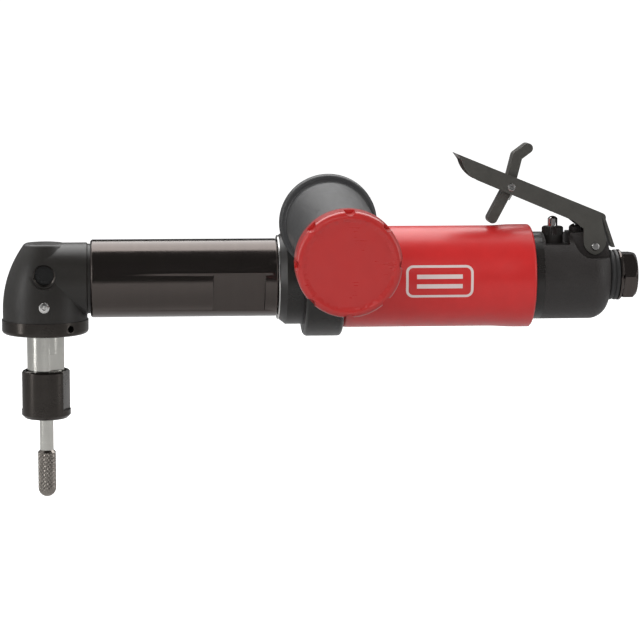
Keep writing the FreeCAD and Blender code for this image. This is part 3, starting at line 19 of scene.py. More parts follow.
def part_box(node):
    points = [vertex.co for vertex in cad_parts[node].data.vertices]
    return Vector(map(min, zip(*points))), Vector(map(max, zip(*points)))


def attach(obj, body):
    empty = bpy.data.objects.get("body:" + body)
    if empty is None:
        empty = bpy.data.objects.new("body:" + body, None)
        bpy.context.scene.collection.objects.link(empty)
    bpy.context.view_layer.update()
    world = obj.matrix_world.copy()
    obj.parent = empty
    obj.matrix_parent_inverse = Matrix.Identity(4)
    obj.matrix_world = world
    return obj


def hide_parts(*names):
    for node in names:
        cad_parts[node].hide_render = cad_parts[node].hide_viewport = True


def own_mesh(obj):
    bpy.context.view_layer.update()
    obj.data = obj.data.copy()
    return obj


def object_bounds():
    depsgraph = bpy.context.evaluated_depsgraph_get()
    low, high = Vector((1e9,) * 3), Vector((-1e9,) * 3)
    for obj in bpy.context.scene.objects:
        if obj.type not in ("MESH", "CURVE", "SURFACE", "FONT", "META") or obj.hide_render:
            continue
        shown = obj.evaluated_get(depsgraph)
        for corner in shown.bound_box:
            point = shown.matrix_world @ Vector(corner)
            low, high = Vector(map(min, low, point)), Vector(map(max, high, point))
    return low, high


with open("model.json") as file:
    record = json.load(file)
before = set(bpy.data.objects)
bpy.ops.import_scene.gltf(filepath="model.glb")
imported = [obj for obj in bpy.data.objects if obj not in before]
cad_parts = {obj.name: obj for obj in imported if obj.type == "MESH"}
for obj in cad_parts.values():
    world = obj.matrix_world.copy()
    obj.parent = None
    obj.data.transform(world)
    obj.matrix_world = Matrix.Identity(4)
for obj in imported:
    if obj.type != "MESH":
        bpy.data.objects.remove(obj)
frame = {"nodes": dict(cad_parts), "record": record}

CAD_BOX = [list(corner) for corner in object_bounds()]
print("CAD box", CAD_BOX)

# %% [markdown]
# ## Where things are
#
# Every place is read from the frame. The handle and the spindle have axes of their own, and
# the joints of the record say where these run, so the pieces on them are modelled upright
# about the origin and then moved there.

# %% Read the main sizes
MM = 0.001
JOINTS = {joint["name"]: joint for joint in frame["record"]["behaviour"]["joints"]}
NODES = frame["nodes"]
SPINDLE_X = JOINTS["spindle_spin"]["pos_m"][0]
STUD_START = Vector(JOINTS["handle_turn"]["pos_m"])
STUD_WAY = Vector(JOINTS["handle_turn"]["axis"]).normalized()


def span(node, axis):
    """The lowest and highest place of a node along one axis, in metres."""
    low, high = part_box(node)
    return low[axis], high[axis]


SLEEVE_FRONT, SLEEVE_REAR = span("grip_sleeve", 0)
FLARE_RADIUS = span("grip_sleeve", 2)[1]
BURR_BOTTOM, BURR_TOP = span("carbide_burr", 2)
BURR_RADIUS = (span("carbide_burr", 1)[1] - span("carbide_burr", 1)[0]) / 2
LOWEST = CAD_BOX[0][2]
print("sleeve", SLEEVE_FRONT, SLEEVE_REAR, "flare radius", FLARE_RADIUS)

# %% [markdown]
# ## Camera and light
#
# The camera stands a little more than a metre away with a long lens, slightly above the tool
# and slightly to its left. Large soft lamps make the long pale streaks that glossy round metal
# needs: with small lamps a blued barrel would only look black.

# %% Camera
VIEW_CENTRE = Vector((-0.1474, 0.0, -0.0202))
CAMERA_DISTANCE = 1.14
CAMERA_TURN = math.radians(-5.0)
CAMERA_RISE = math.radians(7.5)
CAMERA_ROLL = math.radians(0.12)
VIEW_WIDTH = 0.2966


def camera_spot():
    level = math.cos(CAMERA_RISE) * CAMERA_DISTANCE
    return VIEW_CENTRE + Vector((math.sin(CAMERA_TURN) * level, -math.cos(CAMERA_TURN) * level,
                                 math.sin(CAMERA_RISE) * CAMERA_DISTANCE))


lens = bpy.data.cameras.new("camera")
lens.angle = 2 * math.atan(VIEW_WIDTH / 2 / CAMERA_DISTANCE)
camera = bpy.data.objects.new("camera", lens)
camera.location = camera_spot()
AIM = (VIEW_CENTRE - camera.location).to_track_quat("-Z", "Y").to_matrix()
camera.rotation_euler = (AIM @ Matrix.Rotation(CAMERA_ROLL, 3, "Z")).to_euler()
bpy.context.scene.collection.objects.link(camera)
bpy.context.scene.camera = camera
print("camera at", tuple(round(value, 3) for value in camera.location))

# %% Lamps and backdrop


def maths(tree, operation, first, second=None):
    node = tree.nodes.new("ShaderNodeMath")
    node.operation = operation
    for place, value in enumerate((first, second)):
        if value is None:
            continue
        if isinstance(value, (int, float)):
            node.inputs[place].default_value = value
        else:
            tree.links.new(value, node.inputs[place])
    return node.outputs[0]


def add_lamp(name, spot, aim, size, power, glossy=True):
    lamp = bpy.data.lights.new(name, "AREA")
    lamp.shape = "RECTANGLE"
    lamp.size, lamp.size_y = size
    lamp.energy = power
    holder = bpy.data.objects.new(name, lamp)
    holder.location = spot
    holder.visible_glossy = glossy
    holder.rotation_euler = (Vector(aim) - Vector(spot)).to_track_quat("-Z", "Y").to_euler()
    bpy.context.scene.collection.objects.link(holder)


add_lamp("overhead_lamp", (-0.15, 0.35, 0.62), (-0.15, 0, 0), (1.3, 0.70), 9.5)
add_lamp("front_lamp", (-0.35, -0.95, 0.45), (-0.15, 0, 0), (0.6, 0.5), 7.0, glossy=False)
add_lamp("right_lamp", (0.75, -0.45, 0.10), (-0.1, 0, 0), (0.12, 0.7), 1.3)
add_lamp("left_lamp", (-1.0, -0.30, 0.10), (-0.25, 0, 0), (0.14, 0.7), 1.5)
add_lamp("low_lamp", (-0.15, -0.35, -0.60), (-0.15, 0, 0), (1.2, 0.2), 1.0)


def seen_white(tree, strength_socket, seen, unseen):
    """What the camera sees directly is this bright; unseen, a socket or number, lights the tool."""
    path = tree.nodes.new("ShaderNodeLightPath").outputs["Is Camera Ray"]
    direct = maths(tree, "MULTIPLY", path, seen)
    others = maths(tree, "MULTIPLY", maths(tree, "SUBTRACT", 1.0, path), unseen)
    tree.links.new(maths(tree, "ADD", direct, others), strength_socket)


def room_glow(tree, dark, bright):
    """The room's light: dark ahead of the tool and behind it, bright to its left and right."""
    way = tree.nodes.new("ShaderNodeTexCoord").outputs["Generated"]
    parts = tree.nodes.new("ShaderNodeSeparateXYZ")
    tree.links.new(way, parts.inputs[0])
    side = maths(tree, "POWER", maths(tree, "ABSOLUTE", parts.outputs["X"]), 1.6)
    return maths(tree, "ADD", dark, maths(tree, "MULTIPLY", side, bright - dark))


world = bpy.data.worlds.new("studio")
world.use_nodes = True
background = world.node_tree.nodes["Background"]
background.inputs["Color"].default_value = (1.0, 1.0, 1.0, 1.0)
seen_white(world.node_tree, background.inputs["Strength"], seen=1.1,
           unseen=room_glow(world.node_tree, dark=0.06, bright=0.65))
bpy.context.scene.world = world
bpy.context.scene.view_settings.view_transform = "Standard"

# %% [markdown]
# ## Shader groups
#
# Several finishes share the same few effects, so each effect is a node group with its own
# inputs: a cast or moulded skin, fine rings left by turning, and slow changes of tone. They
# read object coordinates, so they stay in place on every piece.

# %% Helpers for node groups


def new_group(name, inputs, outputs):
    group = bpy.data.node_groups.new(name, "ShaderNodeTree")
    for label, default in inputs:
        socket = group.interface.new_socket(label, in_out="INPUT", socket_type="NodeSocketFloat")
        socket.default_value = default
    for label in outputs:
        group.interface.new_socket(label, in_out="OUTPUT", socket_type="NodeSocketFloat")
    start = group.nodes.new("NodeGroupInput")
    end = group.nodes.new("NodeGroupOutput")
    return group, start, end


def noise(tree, vector, scale, detail=3.0, roughness=0.55):
    node = tree.nodes.new("ShaderNodeTexNoise")
    node.inputs["Detail"].default_value = detail
    node.inputs["Roughness"].default_value = roughness
    tree.links.new(vector, node.inputs["Vector"])
    if isinstance(scale, (int, float)):
        node.inputs["Scale"].default_value = scale
    else:
        tree.links.new(scale, node.inputs["Scale"])
    return node.outputs["Fac"]


# %% The groups themselves


def make_skin_group():
    """Cast or moulded skin: small rounded grains with a finer roughness on them."""
    group, start, end = new_group("skin", [("Grain", 1800.0)], ["Height", "Tone"])
    coordinates = group.nodes.new("ShaderNodeTexCoord").outputs["Object"]
    grains = group.nodes.new("ShaderNodeTexVoronoi")
    grains.feature = "SMOOTH_F1"
    grains.inputs["Smoothness"].default_value = 0.6
    group.links.new(coordinates, grains.inputs["Vector"])
    group.links.new(start.outputs["Grain"], grains.inputs["Scale"])
    fine = noise(group, coordinates, maths(group, "MULTIPLY", start.outputs["Grain"], 2.1))
    height = maths(group, "ADD", grains.outputs["Distance"], maths(group, "MULTIPLY", fine, 0.6))
    slow = noise(group, coordinates, maths(group, "MULTIPLY", start.outputs["Grain"], 0.04))
    group.links.new(height, end.inputs["Height"])
    group.links.new(slow, end.inputs["Tone"])
    return group


def make_turning_group(name, axis):
    """Rings from a lathe tool, spaced unevenly along one axis."""
    group, start, end = new_group(name, [("Rings", 2600.0)], ["Height", "Tone"])
    coordinates = group.nodes.new("ShaderNodeTexCoord").outputs["Object"]
    parts = group.nodes.new("ShaderNodeSeparateXYZ")
    group.links.new(coordinates, parts.inputs[0])
    line = group.nodes.new("ShaderNodeCombineXYZ")
    group.links.new(parts.outputs[axis], line.inputs["X"])
    rings = noise(group, line.outputs[0], start.outputs["Rings"], detail=2.0)
    wide = noise(group, line.outputs[0], maths(group, "MULTIPLY", start.outputs["Rings"], 0.12))
    group.links.new(rings, end.inputs["Height"])
    group.links.new(maths(group, "ADD", maths(group, "MULTIPLY", rings, 0.5),
                          maths(group, "MULTIPLY", wide, 0.5)), end.inputs["Tone"])
    return group


def make_handling_group():
    """Smudges and thin rubbed streaks that change how sharp a reflection is."""
    group, start, end = new_group("handling", [("Size", 60.0)], ["Tone"])
    coordinates = group.nodes.new("ShaderNodeTexCoord").outputs["Object"]
    smudges = noise(group, coordinates, start.outputs["Size"], detail=4.0)
    stretch = group.nodes.new("ShaderNodeMapping")
    stretch.inputs["Scale"].default_value = (0.08, 1.0, 1.0)
    group.links.new(coordinates, stretch.inputs["Vector"])
    streaks = noise(group, stretch.outputs[0],
                    maths(group, "MULTIPLY", start.outputs["Size"], 22.0), detail=5.0)
    mixed = maths(group, "ADD", maths(group, "MULTIPLY", smudges, 0.65),
                  maths(group, "MULTIPLY", streaks, 0.35))
    group.links.new(mixed, end.inputs["Tone"])
    return group


SKIN = make_skin_group()
TURNING_X = make_turning_group("turning_along_x", "X")
TURNING_Z = make_turning_group("turning_along_z", "Z")
HANDLING = make_handling_group()
print("shader groups", [group.name for group in (SKIN, TURNING_X, TURNING_Z, HANDLING)])

# %% [markdown]
# ## Finishes
#
# A finish is one Principled shader with two close colours that a slow pattern mixes, a
# roughness that smudges and streaks vary, and a fine height that a Bump node turns into
# light. The same builder serves them all, so a finish is described by a handful of numbers.

# %% The builder of finishes


def finish(name, light, dark, roughness, metallic=0.0, surface=SKIN, pattern=1800.0,
           depth=0.02, spread=0.1, coat=0.0, coat_roughness=0.1, smudge=60.0, specular=0.5):
    """A named finish. Depth is the height of its fine pattern in millimetres, and spread is how
    far smudges move the roughness."""
    made = bpy.data.materials.new(name)
    made.use_nodes = True
    tree = made.node_tree
    shader = tree.nodes["Principled BSDF"]
    shader.inputs["Metallic"].default_value = metallic
    shader.inputs["Coat Weight"].default_value = coat
    shader.inputs["Coat Roughness"].default_value = coat_roughness
    shader.inputs["Specular IOR Level"].default_value = specular

    fine = tree.nodes.new("ShaderNodeGroup")
    fine.node_tree = surface
    fine.inputs[0].default_value = pattern
    handled = tree.nodes.new("ShaderNodeGroup")
    handled.node_tree = HANDLING
    handled.inputs["Size"].default_value = smudge

    blend = tree.nodes.new("ShaderNodeMix")
    blend.data_type = "RGBA"
    blend.inputs["A"].default_value = (*dark, 1.0)
    blend.inputs["B"].default_value = (*light, 1.0)
    tree.links.new(fine.outputs["Tone"], blend.inputs["Factor"])
    tree.links.new(blend.outputs["Result"], shader.inputs["Base Color"])

    change = tree.nodes.new("ShaderNodeMapRange")
    change.inputs["From Min"].default_value = 0.3
    change.inputs["From Max"].default_value = 0.7
    change.inputs["To Min"].default_value = max(roughness - spread, 0.02)
    change.inputs["To Max"].default_value = min(roughness + spread, 1.0)
    tree.links.new(handled.outputs["Tone"], change.inputs["Value"])
    tree.links.new(change.outputs["Result"], shader.inputs["Roughness"])

    bump = tree.nodes.new("ShaderNodeBump")
    bump.inputs["Distance"].default_value = depth * MM
    bump.inputs["Strength"].default_value = 1.0
    tree.links.new(fine.outputs["Height"], bump.inputs["Height"])
    tree.links.new(bump.outputs["Normal"], shader.inputs["Normal"])
    return made


# %% Every finish on the tool
CAST_BLACK = finish("cast_black", (0.033, 0.029, 0.028), (0.017, 0.015, 0.014), 0.50,
                    pattern=1500.0, depth=0.09, spread=0.08)
HEAD_BLACK = finish("head_black", (0.019, 0.017, 0.015), (0.012, 0.011, 0.010), 0.40,
                    pattern=2300.0, depth=0.03, spread=0.08)
SATIN_BLACK = finish("satin_black", (0.018, 0.016, 0.015), (0.012, 0.011, 0.010), 0.32,
                     pattern=3200.0, depth=0.01)
BLUED = finish("blued_steel", (0.125, 0.108, 0.100), (0.085, 0.073, 0.068), 0.17, metallic=0.95,
               surface=TURNING_X, depth=0.002, spread=0.05)
BLUED_SPINDLE = finish("blued_steel_turned", (0.078, 0.070, 0.064), (0.048, 0.043, 0.039), 0.24,
                       metallic=0.95, surface=TURNING_Z, depth=0.004, spread=0.07)
BRIGHT = finish("bright_steel", (0.74, 0.73, 0.69), (0.58, 0.57, 0.53), 0.20, metallic=1.0,
                surface=TURNING_Z, depth=0.004, spread=0.08)
BRIGHT_X = finish("bright_steel_along", (0.76, 0.75, 0.73), (0.58, 0.57, 0.56), 0.24,
                  metallic=1.0, surface=TURNING_X, depth=0.004, spread=0.08)
POLISHED = finish("polished_steel", (0.85, 0.84, 0.82), (0.72, 0.71, 0.70), 0.12, metallic=1.0,
                  pattern=5000.0, depth=0.001, spread=0.05)
LEVER_GREY = finish("lever_grey", (0.135, 0.130, 0.118), (0.095, 0.092, 0.084), 0.36,
                    metallic=0.6, pattern=4200.0, depth=0.006, spread=0.1)
CARBIDE = finish("carbide", (0.40, 0.365, 0.33), (0.22, 0.20, 0.18), 0.30, metallic=1.0,
                 pattern=6000.0, depth=0.004, spread=0.1)
BRASS = finish("brass", (0.80, 0.60, 0.30), (0.62, 0.45, 0.21), 0.28, metallic=1.0,
               surface=TURNING_X, depth=0.004)
IRON = finish("ground_iron", (0.34, 0.34, 0.34), (0.24, 0.24, 0.245), 0.36, metallic=1.0,
              surface=TURNING_X, pattern=1800.0, depth=0.006)
RESIN = finish("vane_resin", (0.30, 0.17, 0.085), (0.20, 0.11, 0.055), 0.55, pattern=2600.0,
               depth=0.02)
FELT = finish("muffler_felt", (0.42, 0.40, 0.37), (0.28, 0.265, 0.25), 0.95, pattern=2200.0,
              depth=0.3, specular=0.2)
RUBBER = finish("seal_rubber", (0.030, 0.030, 0.030), (0.017, 0.017, 0.017), 0.50,
                pattern=2500.0, depth=0.01)
SLEEVE_RED = finish("sleeve_red", (0.62, 0.024, 0.024), (0.52, 0.019, 0.019), 0.36,
                    pattern=4200.0, depth=0.012, spread=0.06, coat=0.12, coat_roughness=0.25)
CAP_RED = finish("cap_red", (0.43, 0.021, 0.019), (0.37, 0.017, 0.016), 0.30, pattern=3200.0,
                 depth=0.006, spread=0.06, coat=0.2, coat_roughness=0.15)
GRIP_BLACK = finish("grip_black", (0.040, 0.040, 0.041), (0.027, 0.027, 0.028), 0.40,
                    pattern=2600.0, depth=0.03, spread=0.08)
LABEL_PALE = finish("label_pale", (0.74, 0.62, 0.60), (0.68, 0.56, 0.54), 0.34, pattern=5200.0,
                    depth=0.004, spread=0.06)
FLOOR_PALE = finish("floor_pale", (0.45, 0.45, 0.45), (0.44, 0.44, 0.44), 0.75, pattern=60.0,
                    depth=0.2, spread=0.05, smudge=4.0)
FLOOR_SHADER = FLOOR_PALE.node_tree.nodes["Principled BSDF"]
FLOOR_SHADER.inputs["Emission Color"].default_value = (1.0, 1.0, 1.0, 1.0)
seen_white(FLOOR_PALE.node_tree, FLOOR_SHADER.inputs["Emission Strength"], seen=1.0, unseen=0.0)
print("finishes", len(bpy.data.materials))

# %% [markdown]
# ## Floor
#
# One wide pale sheet throws light back up at the tool. It hangs lower than the burr's tip when
# the burr is pulled out, and it is seen as plain white, so it has no horizon.

# %% The floor
FLOOR_GAP = 2.0 * MM
FLOOR_DROP = JOINTS["burr_pull"]["range_m"][1] + FLOOR_GAP
FLOOR_SIZE = 6.0


def to_object(name, bm, material, smooth_angle=32.0):
    """Turn a bmesh into an object with its place in its mesh."""
    mesh = bpy.data.meshes.new(name)
    bm.to_mesh(mesh)
    bm.free()
    mesh.materials.append(material)
    mesh.shade_smooth()
    mesh.set_sharp_from_angle(angle=math.radians(smooth_angle))
    made = bpy.data.objects.new(name, mesh)
    bpy.context.scene.collection.objects.link(made)
    return made


floor_mesh = bmesh.new()
bmesh.ops.create_grid(floor_mesh, x_segments=1, y_segments=1, size=FLOOR_SIZE / 2)
bmesh.ops.translate(floor_mesh, verts=floor_mesh.verts, vec=(0, 0, LOWEST - FLOOR_DROP))
floor = to_object("floor", floor_mesh, FLOOR_PALE)

# %% [markdown]
# ## Machined pieces keep their shape
#
# The castings, shafts and plates already have their true shape, but every edge on them is
# perfectly sharp, and a real edge is broken and catches a thin line of light. A copy of each
# visible one gets a small bevel on its sharp edges and stands for the original. Pieces hidden
# inside only get a finish.

# %% Break the edges of a copy


def softened(node, body, material, width, angle=38.0, segments=2):
    """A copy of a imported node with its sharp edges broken, which stands for the node."""
    bm = bmesh.new()
    bm.from_mesh(NODES[node].data)
    bmesh.ops.remove_doubles(bm, verts=bm.verts, dist=0.002 * MM)
    bmesh.ops.dissolve_limit(bm, angle_limit=math.radians(0.6), verts=bm.verts, edges=bm.edges)
    piece = to_object(node + "_finished", bm, material, smooth_angle=angle)
    bevel = piece.modifiers.new("broken_edges", "BEVEL")
    bevel.width = width * MM
    bevel.segments = segments
    bevel.limit_method = "ANGLE"
    bevel.angle_limit = math.radians(angle)
    bevel.harden_normals = True
    bevel.use_clamp_overlap = True
    weighted = piece.modifiers.new("even_shading", "WEIGHTED_NORMAL")
    weighted.keep_sharp = True
    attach(piece, body)
    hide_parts(node)
    return piece


def dress(material, *nodes):
    """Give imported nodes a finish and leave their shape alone."""
    for node in nodes:
        slots = NODES[node].data.materials
        slots.clear()
        slots.append(material)


softened("backhead", "tool_body", CAST_BLACK, 0.5)
softened("motor_housing", "tool_body", SATIN_BLACK, 0.3)
softened("extension_barrel", "tool_body", BLUED, 0.25)
softened("barrel_lock_ring", "tool_body", BRIGHT_X, 0.15)
HEAD = softened("angle_head", "tool_body", HEAD_BLACK, 0.6)
softened("bearing_cap_ring", "tool_body", BLUED_SPINDLE, 0.2)
softened("grease_fitting", "tool_body", POLISHED, 0.15)
softened("inlet_bushing", "tool_body", BLUED, 0.25)
softened("inlet_seal", "tool_body", RUBBER, 0.3)
softened("throttle_lever", "lever", LEVER_GREY, 0.25)
softened("lock_lever", "lock", LEVER_GREY, 0.5, segments=3)
softened("lock_pin", "lever", POLISHED, 0.12)
softened("lever_pin", "tool_body", POLISHED, 0.15)
softened("regulator_screw", "regulator", SATIN_BLACK, 0.12)
softened("throttle_plunger", "plunger", POLISHED, 0.1)
softened("spindle", "spindle_unit", BRIGHT, 0.2)
softened("collet_nut", "nut_unit", BLUED_SPINDLE, 0.25)
softened("clamp_band", "handle_clamp", SATIN_BLACK, 0.5)
softened("clamp_nut", "handle_clamp", BLUED, 0.3)
dress(POLISHED, "lock_spring", "rear_rotor_bearing", "front_rotor_bearing",
      "barrel_rear_bearing", "barrel_front_bearing", "pinion_bearing", "lower_spindle_bearing",
      "upper_spindle_bearing")
dress(BRIGHT_X, "inlet_screen", "throttle_valve", "rotor", "shaft_coupling", "drive_shaft",
      "bevel_pinion", "handle_stud")
dress(BRIGHT, "driven_gear", "collet")
dress(BRASS, "valve_seat")
dress(IRON, "rear_end_plate", "front_end_plate", "motor_cylinder")
dress(RESIN, "rotor_vanes")
dress(FELT, "exhaust_muffler")
softened("handle_end_cap", "handle", CAP_RED, 0.7, segments=3)

# %% [markdown]
# ## Turned pieces
#
# Many pieces are turned on a lathe or moulded round. Their outline is drawn once, as points of
# distance along the axis and radius, and `bmesh.ops.spin` carries it round the axis. The piece
# is made along the Z axis at the origin and then moved to where its own axis runs.

# %% Spin an outline into a closed piece


def spun(outline, steps):
    """A closed mesh from a closed outline of (along, radius) points spun about the Z axis."""
    bm = bmesh.new()
    ring = [bm.verts.new((radius, 0.0, along)) for along, radius in outline]
    for number, vert in enumerate(ring):
        bm.edges.new((ring[number - 1], vert))
    bmesh.ops.spin(bm, geom=bm.verts[:] + bm.edges[:], cent=(0, 0, 0), axis=(0, 0, 1),
                   angle=math.tau, steps=steps, use_merge=True, use_duplicate=False)
    bmesh.ops.remove_doubles(bm, verts=bm.verts, dist=0.0005 * MM)
    bmesh.ops.recalc_face_normals(bm, faces=bm.faces)
    return bm


def arc(centre, radius, start, end, count):
    """Points on an arc, with centre as (along, radius) and angles in degrees from the axis."""
    points = []
    for number in range(count + 1):
        angle = math.radians(start + (end - start) * number / count)
        points.append((centre[0] + radius * math.cos(angle),
                       centre[1] + radius * math.sin(angle)))
    return points


def set_on(bm, spot, way):
    """Move a piece made along the Z axis so that its own Z runs along way from spot."""
    turn = Vector((0, 0, 1)).rotation_difference(Vector(way)).to_matrix().to_4x4()
    bmesh.ops.transform(bm, matrix=Matrix.Translation(spot) @ turn, verts=bm.verts)


# %% [markdown]
# ## The red grip
#
# The sleeve is moulded in rubbery red plastic over the motor housing. It swells slightly near
# the air inlet, its ends are rounded, and the two halves of the mould left a fine raised line
# along its lower side. The line is real shape here: one column of points stands proud.

# %% Grip sleeve
SLEEVE_WALL = 2.62 * MM
SLEEVE_SWELL = 0.5 * MM
SWELL_FLAT = 8.0 * MM
SWELL_END = 20.0 * MM
SLEEVE_EDGE = 1.3 * MM
SEAM_ANGLE = math.radians(-78.0)
SEAM_RISE = 0.16 * MM
SLEEVE_STEPS = 180


def make_grip_sleeve():
    length = SLEEVE_REAR - SLEEVE_FRONT
    plain = FLARE_RADIUS - SLEEVE_SWELL
    inner = plain - SLEEVE_WALL
    outline = [(0.0, inner)]
    outline += arc((SLEEVE_EDGE, plain - SLEEVE_EDGE), SLEEVE_EDGE, 180, 90, 5)
    for share in (0.0, 0.25, 0.5, 0.75, 1.0):
        along = length - SWELL_END + (SWELL_END - SWELL_FLAT) * share
        rise = 0.5 - 0.5 * math.cos(math.pi * share)
        outline.append((along, plain + SLEEVE_SWELL * rise))
    outline += arc((length - SLEEVE_EDGE, FLARE_RADIUS - SLEEVE_EDGE), SLEEVE_EDGE, 90, 0, 5)
    outline.append((length, inner))
    bm = spun(outline, SLEEVE_STEPS)
    set_on(bm, Vector((SLEEVE_FRONT, 0, 0)), (1, 0, 0))
    half_step = math.pi / SLEEVE_STEPS
    for vert in bm.verts:
        around = math.atan2(vert.co.z, -vert.co.y)
        if abs(around - SEAM_ANGLE) < half_step and math.hypot(vert.co.y, vert.co.z) > inner + MM:
            vert.co.y *= 1 + SEAM_RISE / plain
            vert.co.z *= 1 + SEAM_RISE / plain
    piece = to_object("grip_sleeve_moulded", bm, SLEEVE_RED, smooth_angle=40.0)
    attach(piece, "tool_body")
    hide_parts("grip_sleeve")
    print("grip sleeve faces", len(piece.data.polygons))


make_grip_sleeve()

# %% [markdown]
# ## A plain printed label
#
# The grip carries a pale print. This one is generic: a rounded frame with two plain bars. Each
# shape is drawn flat as a grid, and its points are then laid round the sleeve just above the
# plastic, so the print follows the curve.

# %% Label
LABEL_LENGTH = 31.0 * MM
LABEL_HEIGHT = 15.0 * MM
LABEL_LINE = 1.2 * MM
LABEL_CORNER = 3.4 * MM
LABEL_LIFT = 0.03 * MM
LABEL_X = -94.7 * MM
BAR_LENGTH = 21.0 * MM
BAR_HEIGHT = 2.0 * MM
BAR_PLACE = 2.2 * MM


def rounded_loop(bm, length, height, corner, count=6):
    """A closed loop of points round a rectangle with round corners."""
    verts = []
    for side, (across, up) in enumerate(((1, 1), (-1, 1), (-1, -1), (1, -1))):
        centre = Vector((across * (length / 2 - corner), up * (height / 2 - corner)))
        for number in range(count + 1):
            angle = math.radians(90 * side + 90 * number / count)
            verts.append(bm.verts.new((centre.x + corner * math.cos(angle),
                                       centre.y + corner * math.sin(angle), 0.0)))
    return [bm.edges.new((verts[number - 1], vert)) for number, vert in enumerate(verts)]


def lay_on_sleeve(bm):
    """Wrap a flat print, drawn about the origin, round the front of the sleeve."""
    reach = FLARE_RADIUS - SLEEVE_SWELL + LABEL_LIFT
    for vert in bm.verts:
        around = vert.co.y / reach
        vert.co = Vector((LABEL_X + vert.co.x, -reach * math.cos(around),
                          reach * math.sin(around)))


def make_label():
    bm = bmesh.new()
    outer = rounded_loop(bm, LABEL_LENGTH, LABEL_HEIGHT, LABEL_CORNER)
    inner = rounded_loop(bm, LABEL_LENGTH - 2 * LABEL_LINE, LABEL_HEIGHT - 2 * LABEL_LINE,
                         LABEL_CORNER - LABEL_LINE)
    bmesh.ops.bridge_loops(bm, edges=outer + inner)
    for up in (BAR_PLACE, -BAR_PLACE):
        bar = bmesh.ops.create_grid(bm, x_segments=8, y_segments=4, size=0.5)["verts"]
        bmesh.ops.scale(bm, vec=(BAR_LENGTH, BAR_HEIGHT, 1.0), verts=bar)
        bmesh.ops.translate(bm, vec=(0.0, up, 0.0), verts=bar)
    long_edges = [edge for edge in bm.edges if abs((edge.verts[0].co - edge.verts[1].co).y) > MM]
    bmesh.ops.subdivide_edges(bm, edges=long_edges, cuts=6)
    lay_on_sleeve(bm)
    bmesh.ops.recalc_face_normals(bm, faces=bm.faces)
    if sum(face.normal.y for face in bm.faces) > 0:
        bmesh.ops.reverse_faces(bm, faces=bm.faces)
    piece = to_object("printed_label", bm, LABEL_PALE)
    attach(piece, "tool_body")


make_label()

# %% [markdown]
# ## The side handle
#
# The handle is a straight black grip with a round guard that keeps the hand off the tool. The
# guard's rim is fully rounded and flows into the grip with a hollow, which a lathe outline with
# arcs gives. It is made upright and then laid along the stud.

# %% Handle grip
GRIP_START = 19.3 * MM
GUARD_START = 28.5 * MM
GUARD_LENGTH = 6.0 * MM
GUARD_RADIUS = 21.9 * MM
HUB_RADIUS = 9.5 * MM
GRIP_RADIUS = 19.0 * MM
GRIP_END = 119.0 * MM
STUD_BORE = 5.05 * MM
STUD_HOLE_END = 74.0 * MM
AIR_HOLE = 3.0 * MM
SPIGOT_BORE = 12.0 * MM
SPIGOT_LENGTH = 8.0 * MM
GUARD_EDGE = 1.8 * MM
GRIP_HOLLOW = 1.0 * MM
GRIP_STEPS = 128


def make_handle_grip():
    guard_end = GUARD_START + GUARD_LENGTH
    outline = [(GRIP_START, STUD_BORE), (GRIP_START, HUB_RADIUS), (GUARD_START, HUB_RADIUS)]
    outline += arc((GUARD_START + GUARD_EDGE, GUARD_RADIUS - GUARD_EDGE), GUARD_EDGE, 180, 90, 5)
    outline += arc((guard_end - GUARD_EDGE, GUARD_RADIUS - GUARD_EDGE), GUARD_EDGE, 90, 0, 5)
    outline += arc((guard_end + GRIP_HOLLOW, GRIP_RADIUS + GRIP_HOLLOW), GRIP_HOLLOW, 180, 270, 5)
    outline += [(GRIP_END, GRIP_RADIUS), (GRIP_END, SPIGOT_BORE),
                (GRIP_END - SPIGOT_LENGTH, SPIGOT_BORE), (GRIP_END - SPIGOT_LENGTH, AIR_HOLE),
                (STUD_HOLE_END, AIR_HOLE), (STUD_HOLE_END, STUD_BORE)]
    bm = spun(outline, GRIP_STEPS)
    set_on(bm, STUD_START, STUD_WAY)
    piece = to_object("handle_grip_moulded", bm, GRIP_BLACK, smooth_angle=40.0)
    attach(piece, "handle")
    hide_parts("handle_grip")
    print("handle grip faces", len(piece.data.polygons))


make_handle_grip()

# %% [markdown]
# ## The knurled valve cap
#
# The cap over the throttle plunger is screwed down by hand, so its upper half has straight
# ribs. An outline is spun with twice as many steps as there are ribs, and every second column
# of points on the ribbed half is pushed in.

# %% Valve cap
CAP_LOW, CAP_HIGH = span("valve_cap", 2)
CAP_PLACE = Vector((sum(span("valve_cap", 0)) / 2, 0.0, 0.0))
CAP_RADIUS = (span("valve_cap", 0)[1] - span("valve_cap", 0)[0]) / 2
CAP_THREAD = 3.9 * MM
CAP_BORE = 2.35 * MM
CAP_FLOOR = 15.3 * MM
CAP_EDGE = 0.6 * MM
RIB_FOOT = 19.0 * MM
RIB_COUNT = 36
RIB_DEPTH = 0.38 * MM
RIB_RUNOUT = 0.3 * MM
BODY_STEP = 0.15 * MM


